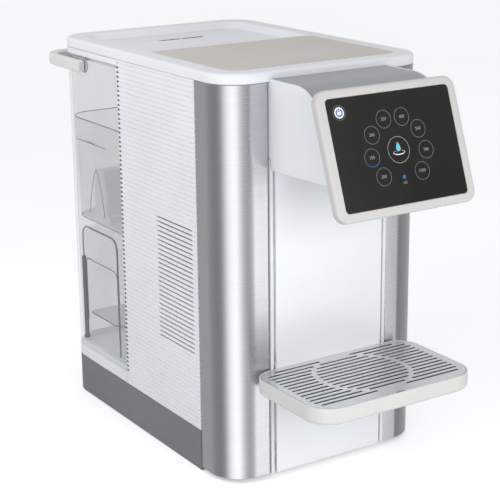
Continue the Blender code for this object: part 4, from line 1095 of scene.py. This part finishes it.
def raw_water_cup():
    low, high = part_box("raw_water_reservoir")
    levels = [(low.z, 0.0046), (low.z + 0.0004, 0.0034), (low.z + 0.0012, 0.0027),
              (low.z + 0.0024, 0.0024), (high.z - 0.0003, 0.0), (high.z, 0.0004), (high.z, 0.0016),
              (low.z + 0.0038, 0.0040), (low.z + 0.0022, 0.0046), (low.z + 0.0016, 0.0060)]
    cup = stack("clear_raw_water_cup", levels,
                lambda inset: rounded(high.x, low.y, high.y, 0.003, 0.0238, inset, 20))
    drain = turned("filter_outlet", [(low.z - 0.01, PORT_RADIUS), (low.z + 0.01, PORT_RADIUS)],
                   "Z", (0.0, FACE + CUP_DRAIN), 32)
    stand_in(carve(cup, drain), "raw_water_reservoir", look=INNER_CLEAR)
    frost(cup, low.z + 0.0030)


def filtered_water_chamber():
    low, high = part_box("filtered_water_chamber")
    shoulder, thin = CHAMBER_CORNER, 0.0020
    levels = [(high.z - thin, shoulder + 0.001)]
    for angle in range(60, -1, -15):
        turn = math.radians(angle)
        levels.append((high.z - shoulder + (shoulder - thin) * math.sin(turn),
                       thin + (shoulder - thin) * (1 - math.cos(turn))))
    levels += [(low.z, thin), (low.z, 0.0)]
    levels += [(high.z - shoulder + shoulder * math.sin(math.radians(angle)),
                shoulder * (1 - math.cos(math.radians(angle)))) for angle in range(0, 91, 9)]
    hood = stack("clear_filtered_water_chamber", levels,
                 lambda inset: rounded(high.x, low.y, high.y, 0.005, 0.005, inset, 10))
    inlet = turned("chamber_inlet", [(high.z - 0.008, PORT_RADIUS), (high.z + 0.008, PORT_RADIUS)],
                   "Z", (0.0, FACE + CHAMBER_INLET), 32)
    stand_in(carve(hood, inlet), "filtered_water_chamber", look=INNER_CLEAR)


def filter_cartridge():
    """Peaked cartridge with a flange round its foot; its look glows with painted light."""
    low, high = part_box("filter_cartridge")
    middle, = centre_of("filter_cartridge", "y")
    neck, shoulder = 0.0132, 0.0085
    outline = [(low.y, low.z + 0.0004), (low.y + 0.0004, low.z), (high.y - 0.0004, low.z),
               (high.y, low.z + 0.0004), (high.y, low.z + 0.0054), (high.y - 0.0010, low.z + 0.0064)]
    steps = 22
    for i in range(steps + 1):
        angle = math.radians(180 * i / steps)
        reach = math.copysign(abs(math.cos(angle)) ** 0.62, math.cos(angle))
        rise = (high.z - low.z - shoulder) * math.sin(angle) ** 0.9
        outline.append((middle + neck * reach, low.z + shoulder + rise))
    outline += [(low.y + 0.0010, low.z + 0.0064), (low.y, low.z + 0.0054)]
    cartridge = prism("peaked_filter_cartridge", outline, "X", low.x, high.x)
    stand_in(soften(cartridge, 0.0010, 3, 50), "filter_cartridge", look=CARTRIDGE_GLOW)


def bead(name, points, radius, closed=False):
    """A thin round seam moulded along a route of points."""
    curve = bpy.data.curves.new(name, "CURVE")
    curve.dimensions = "3D"
    spline = curve.splines.new("POLY")
    spline.points.add(len(points) - 1)
    for place, point in zip(spline.points, points):
        place.co = (*point, 1.0)
    spline.use_cyclic_u = closed
    curve.bevel_depth = radius
    curve.bevel_resolution = 3
    curve.use_fill_caps = True
    item = bpy.data.objects.new(name, curve)
    bpy.context.scene.collection.objects.link(item)
    bpy.context.view_layer.update()
    made = bpy.data.meshes.new_from_object(item)
    bpy.data.objects.remove(item)
    tube = bpy.data.objects.new(name, made)
    bpy.context.scene.collection.objects.link(tube)
    return dress(tube, "tank", "clear_plastic", SEAM_CLEAR, 60)


def tank_seams():
    """Thickened rims and welds, which show as dark lines through the clear walls."""
    low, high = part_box("raw_water_reservoir")
    rim = rounded(high.x, low.y, high.y, 0.003, 0.0238, 0.0006, 12)
    bead("cup_rim_seam", [(x, y, high.z - 0.0004) for x, y in rim], 0.00045, True)
    foot = rounded(high.x, low.y, high.y, 0.003, 0.0238, 0.0032, 12)
    bead("cup_floor_seam", [(x, y, low.z + 0.0006) for x, y in foot], 0.0005, True)
    hood_low, hood_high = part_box("filtered_water_chamber")
    cartridge_low, cartridge_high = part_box("filter_cartridge")
    middle, = centre_of("filter_cartridge", "y")
    for name, side in (("left", -1), ("right", 1)):
        radius, inset = CHAMBER_CORNER, 0.0009
        x = side * (hood_high.x - inset)
        front, rear, top = hood_low.y + inset, hood_high.y - inset, hood_high.z - inset
        outline = ([(rear, hood_low.z + inset)] + arc((rear - radius, top - radius), radius, 0, 90, 12)
                   + arc((front + radius, top - radius), radius, 90, 180, 12)
                   + [(front, hood_low.z + inset)])
        bead(f"chamber_weld_{name}", [(x, y, z) for y, z in outline], 0.0009)
        front, rear, top = hood_low.y + 0.0050, hood_high.y - 0.0035, hood_low.z + 0.0850
        outline = ([(rear, top - 0.0640)] + arc((rear - 0.004, top - 0.004), 0.004, 0, 90, 8)
                   + arc((front + 0.008, top - 0.008), 0.008, 90, 180, 8) + [(front, top - 0.0640)])
        bead(f"baffle_weld_{name}", [(x * 0.985, y, z) for y, z in outline], 0.00045)
        foot, peak, neck = cartridge_low.z + 0.0064, cartridge_high.z, 0.0150
        outline = []
        for i in range(33):
            reach = math.cos(math.radians(180 * i / 32))
            outline.append((middle + neck * reach,
                            foot + (peak - foot) * (1 - abs(reach) ** 1.2) ** 0.7))
        bead(f"cartridge_arch_{name}", [(side * (high.x - 0.0030), y, z) for y, z in outline], 0.0003)

    def shelf_outline(inset):
        return rounded(hood_high.x - 0.004, hood_low.y + 0.004, hood_high.y - 0.004,
                       0.016, 0.006, inset, 12)
    shelf_top = hood_low.z + SHELF_HEIGHT
    shelf = stack("chamber_shelf", [(shelf_top - 0.0014, 0.0004), (shelf_top - 0.0007, 0.0),
                                    (shelf_top, 0.0004)], shelf_outline)
    # The frosted shelf glows with painted light.
    dress(shelf, "tank", "clear_plastic", FROSTED_GLOW)
    bead("chamber_shelf_edge", [(x, y, shelf_top - 0.0007) for x, y in shelf_outline(0.0)], 0.0006, True)


def tank_marks():
    """Fill line and level ticks moulded on both side walls of the tank."""
    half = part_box("tank_body")[1].x
    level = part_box("tank_deck")[1].z + LEVEL_HEIGHT
    line_top, tick_top, tick_wide = level + 0.0006, level + 0.0026, 0.0007
    outlines = [stadium(FACE + LEVEL_LINE[0], FACE + LEVEL_LINE[1], level, line_top)]
    for i in range(LEVEL_TICKS):
        y = FACE + TICK_START + i * TICK_PITCH
        outlines.append([(y, line_top), (y + tick_wide, line_top),
                         (y + tick_wide, tick_top), (y, tick_top)])
    parts = []
    for side in (-1, 1):
        inner, outer = sorted((side * (half - 0.0001), side * (half + 0.00012)))
        parts += [(outline, "X", inner, outer) for outline in outlines]
    dress(gathered("tank_level_marks", parts), "tank", "pale_grey_plastic",
          plastic("level_mark_look", tone(112, 115, 119), 0.5))


def tank_fittings():
    """The outlet's seat and plunger, and the level probe."""
    port = centre_of("outlet_valve_seat", "xz")
    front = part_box("outlet_valve_seat")[0].y
    profile = [(front, 0.0034), (front, 0.0063), (front + 0.0004, 0.0067), (front + 0.0032, 0.0067),
               (front + 0.0032, 0.0097), (front + 0.0035, 0.0100), (front + 0.0054, 0.0100),
               (front + 0.0057, 0.0097), (front + 0.0057, 0.0067), (front + 0.0112, 0.0067),
               (front + 0.0112, 0.0060), (front + 0.0067, 0.0060), (front + 0.0042, 0.0034)]
    stand_in(turned("turned_outlet_valve_seat", profile, "Y", port, hollow=True), "outlet_valve_seat")
    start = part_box("outlet_valve_plunger")[0].y
    profile = [(start, 0.0018), (start + 0.0005, 0.0024), (start + 0.0049, 0.0029),
               (start + 0.0073, 0.0052), (start + 0.0079, 0.0054), (start + 0.0083, 0.0051)]
    stand_in(turned("turned_outlet_valve_plunger", profile, "Y", port), "outlet_valve_plunger")
    low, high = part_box("level_probe")
    profile = [(low.z, 0.0028), (low.z + 0.0003, 0.0030), (low.z + 0.0016, 0.0030),
               (low.z + 0.0020, 0.0021), (high.z - 0.0012, 0.0021), (high.z - 0.0004, 0.0017),
               (high.z, 0.0010)]
    probe = turned("turned_level_probe", profile, "Z", centre_of("level_probe", "xy"), 28)
    stand_in(probe, "level_probe")


def tank_handle():
    """Carrying bail with a soft-cornered section, and its turned metal pivots in the aluminium look."""
    low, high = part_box("tank_handle")
    axis = centre_of("handle_pivot_left", "yz")
    base, height = low.z, high.z - low.z

    def path(half, back, radius):
        centre_x, centre_y, arm = half - radius, back - radius, axis[0] + 0.012
        return ([(-half, low.y), (-half, low.y + 0.001), (-half, arm)]
                + arc((-centre_x, centre_y), radius, 180, 90, 26)
                + arc((centre_x, centre_y), radius, 90, 0, 26)
                + [(half, arm), (half, low.y + 0.001), (half, low.y)])
    outer = path(high.x, high.y, 0.026)
    inner = path(high.x - 0.0064, high.y - 0.0130, 0.018)
    section = []
    for start, centre in ((180, (0.2, 0.2)), (270, (0.8, 0.2)), (0, (0.8, 0.8)), (90, (0.2, 0.8))):
        section += arc(centre, 0.2, start, start + 90, 5)
    rings_of_bar = []
    for i, ((outer_x, outer_y), (inner_x, inner_y)) in enumerate(zip(outer, inner)):
        squeeze = 0.86 if i in (0, len(outer) - 1) else 1.0
        ring = []
        for across, up in section:
            across = 0.5 + (across - 0.5) * squeeze
            up = 0.5 + (up - 0.5) * squeeze
            ring.append((outer_x + (inner_x - outer_x) * across,
                         outer_y + (inner_y - outer_y) * across, base + height * up))
        rings_of_bar.append(ring)
    handle = skin("moulded_tank_handle", rings_of_bar)
    bores = []
    for side in (-1, 1):
        profile = [(side * 0.1050, 0.0035), (side * 0.1115, 0.0035)]
        bores.append(turned(f"pivot_bore_{side}", profile, "X", axis, 32))
    stand_in(carve(handle, *bores), "tank_handle", look=HANDLE_WHITE, angle=34)
    for node, side in (("handle_pivot_left", -1), ("handle_pivot_right", 1)):
        pin_low, pin_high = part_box(node)
        root = pin_low.x if side > 0 else -pin_high.x
        steps = [(0.0, 0.0066), (0.0002, 0.0068), (0.0012, 0.0068), (0.0017, 0.0064),
                 (0.0020, 0.0060), (0.0020, 0.0032), (0.0061, 0.0032), (0.0065, 0.0027)]
        profile = [(side * (root + reach), radius) for reach, radius in steps]
        stand_in(turned("turned_" + node, profile, "X", axis), node,
                 look=LOOKS["aluminium"])


# ---------------------------------------------------------------- underside and inner works
def feet():
    plate_low, plate_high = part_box("bottom_plate")
    for i in range(1, 5):
        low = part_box(f"foot_{i}")[0]
        pad, bulb = plate_low.z - GAP, plate_high.z + GAP
        profile = [(low.z + 0.0003, 0.0066), (low.z, 0.0070), (low.z, 0.0080), (low.z + 0.0002, 0.0086),
                   (low.z + 0.0006, 0.0090), (pad - 0.0002, 0.0090), (pad, 0.0088), (pad, 0.0034),
                   (bulb, 0.0034), (bulb, 0.0044), (bulb + 0.0003, 0.0046), (bulb + 0.0018, 0.0037),
                   (bulb + 0.0024, 0.0030)]
        foot = turned(f"turned_foot_{i}", profile, "Z", centre_of(f"foot_{i}", "xy"))
        stand_in(foot, f"foot_{i}")


PLATE_SCREWS = ((-0.088, 0.110), (0.088, 0.110), (-0.088, 0.215), (0.088, 0.215))


def plate_screws():
    """Four countersunk screws that hold the bottom plate, set into its lower face."""
    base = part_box("bottom_plate")[0].z
    profile = [(base - 0.0004, 0.0018), (base - 0.0001, 0.0029), (base + 0.0004, 0.0031),
               (base + 0.0009, 0.0024)]
    for i, (x, y) in enumerate(PLATE_SCREWS):
        screw = turned(f"plate_screw_{i + 1}", profile, "Z", (x, FACE + y), 32)
        slots = [box(f"cross_{turn}", (x - across, FACE + y - length, base - 0.001),
                     (x + across, FACE + y + length, base + 0.0003))
                 for turn, across, length in ((0, 0.0003, 0.0015), (1, 0.0015, 0.0003))]
        dress(carve(screw, *slots), "machine", "aluminium")


def other_nodes():
    """CAD nodes that are shown as they are get softened edges and a detailed material."""
    for node, item in frame["nodes"].items():
        if item.hide_render:
            continue
        item.data.materials[0] = LOOKS[slot_of[node]]
        modifier = item.modifiers.new("edges", "BEVEL")
        modifier.width = 0.0003
        modifier.segments = 2
        modifier.limit_method = "ANGLE"
        modifier.angle_limit = math.radians(50)
        item.modifiers.new("normals", "WEIGHTED_NORMAL").keep_sharp = True


# ---------------------------------------------------------------- studio
STEEL_REFLECTANCE = 0.62
# brightness that the steel shows of the surroundings at a heading, in degrees from +Y towards +X
SURROUNDINGS = ((0, 145), (40, 165), (75, 150), (105, 135), (136, 120), (141, 118), (144.5, 285),
                (150, 258), (155, 215), (162, 182), (170, 164), (179, 164), (187, 178), (197, 212),
                (207, 250), (217, 268), (227, 262), (237, 250), (247, 218), (256, 176), (265, 138),
                (275, 122), (288, 120), (308, 132), (328, 150), (345, 150), (360, 145))


def studio():
    low = cad_box[0]
    floor = add_floor(low[2])
    floor.data.materials.append(floor_look())
    for name, place, aim, size, power in (
            ("side_light", (-0.62, 0.10, 0.74), (-0.1, 0.05, 0.28), 0.45, 1.85),
            ("front_light", (-0.12, -0.75, 0.36), (0.0, -0.1, 0.22), 0.28, 1.8)):
        light = bpy.data.lights.new(name, "AREA")
        light.shape = "SQUARE"
        light.size = size
        light.energy = power
        item = bpy.data.objects.new(name, light)
        item.location = place
        item.rotation_euler = (Vector(aim) - Vector(place)).to_track_quat("-Z", "Y").to_euler()
        item.visible_glossy = False
        item.visible_camera = False
        bpy.context.scene.collection.objects.link(item)
    surroundings()


def add_floor(height):
    shape = bmesh.new()
    bmesh.ops.create_grid(shape, x_segments=4, y_segments=4, size=9.0)
    bmesh.ops.translate(shape, verts=shape.verts, vec=(0.0, 0.0, height))
    floor = add_mesh("studio_floor", shape)
    floor.visible_glossy = False
    return floor


def floor_look():
    graph = Graph("floor_look")
    drift = graph.span(graph.noise(1.5, detail=2.0), 0.0, 1.0)
    body = graph.mix(drift, (0.90, 0.90, 0.905, 1.0), (0.92, 0.92, 0.92, 1.0))
    seen = graph.add("LightPath").outputs["Is Camera Ray"]
    return shade(graph, colour=body, roughness=0.7, specular=0.2, emission=body,
                 glow=graph.span(seen, 0.0, 0.42, 0.0, 1.0))


def surroundings():
    """Plain pale room; shiny pieces see it as tall soft panels of different brightness."""
    graph = Graph("studio_world", "worlds", "Background", "Generated")
    bpy.context.scene.world = graph.owner
    direction = graph.add("SeparateXYZ", {0: graph.place}).outputs
    heading = graph.add("Math", {0: direction["X"], 1: direction["Y"]}, operation="ARCTAN2")
    turn = graph.add("Math", {0: heading.outputs[0], 1: math.tau}, operation="DIVIDE")
    whole = graph.add("Math", {0: turn.outputs[0]}, operation="FRACT")
    ramp = graph.add("ValToRGB", {0: whole.outputs[0]})
    stops = ramp.color_ramp.elements
    for i, (angle, value) in enumerate(SURROUNDINGS):
        stop = stops[i] if i < 2 else stops.new(angle / 360)
        stop.position = angle / 360
        level = (value / 255) ** 2.2 / STEEL_REFLECTANCE
        stop.color = (level, level, level * 1.01, 1.0)
    overhead = graph.span(direction["Z"], 0.0, 1.0, 0.12, 0.42)
    panels = graph.mix(overhead, ramp.outputs[0], (0.72, 0.72, 0.73, 1.0))
    climb = graph.span(direction["Z"], 0.0, 1.0, 0.0, 0.9)
    sky = graph.mix(climb, (0.84, 0.85, 0.87, 1.0), (0.49, 0.495, 0.505, 1.0))
    rays = graph.add("LightPath").outputs
    room = graph.mix(rays["Is Glossy Ray"], sky, panels)
    graph.put(graph.shader, "Color", graph.mix(rays["Is Camera Ray"], room, (1.0, 1.0, 1.0, 1.0)))


def camera():
    """At the viewing angle: from the front left, a little above the machine."""
    place = Vector((-0.70105, -1.07543, 0.54979))
    azimuth, elevation, roll = math.radians(32.66), math.radians(16.37), math.radians(-0.62)
    ahead = Vector((math.sin(azimuth) * math.cos(elevation),
                    math.cos(azimuth) * math.cos(elevation), -math.sin(elevation)))
    level = Vector((math.cos(azimuth), -math.sin(azimuth), 0.0))
    upright = level.cross(ahead)
    right = math.cos(roll) * level + math.sin(roll) * upright
    up = -math.sin(roll) * level + math.cos(roll) * upright
    item = bpy.data.objects.new("camera", bpy.data.cameras.new("camera"))
    item.data.lens = 103.46
    item.data.sensor_width = 36.0
    item.matrix_world = Matrix((right, up, -ahead)).transposed().to_4x4()
    item.location = place
    bpy.context.scene.collection.objects.link(item)
    bpy.context.scene.camera = item
    bpy.context.scene.view_settings.view_transform = "Standard"


for build in (steel_panels, side_panels, rear_skirt, base_plinth, front_channel, head_shell,
              head_top_sheet, outlet_nozzle, display, display_graphics, top_cover, top_mat, fill_flap,
              drip_tray, drip_grille, tank_body, tank_lid, raw_water_cup, filtered_water_chamber,
              filter_cartridge, tank_seams, tank_marks, tank_fittings, tank_handle, feet,
              plate_screws, other_nodes, studio, camera):
    build()
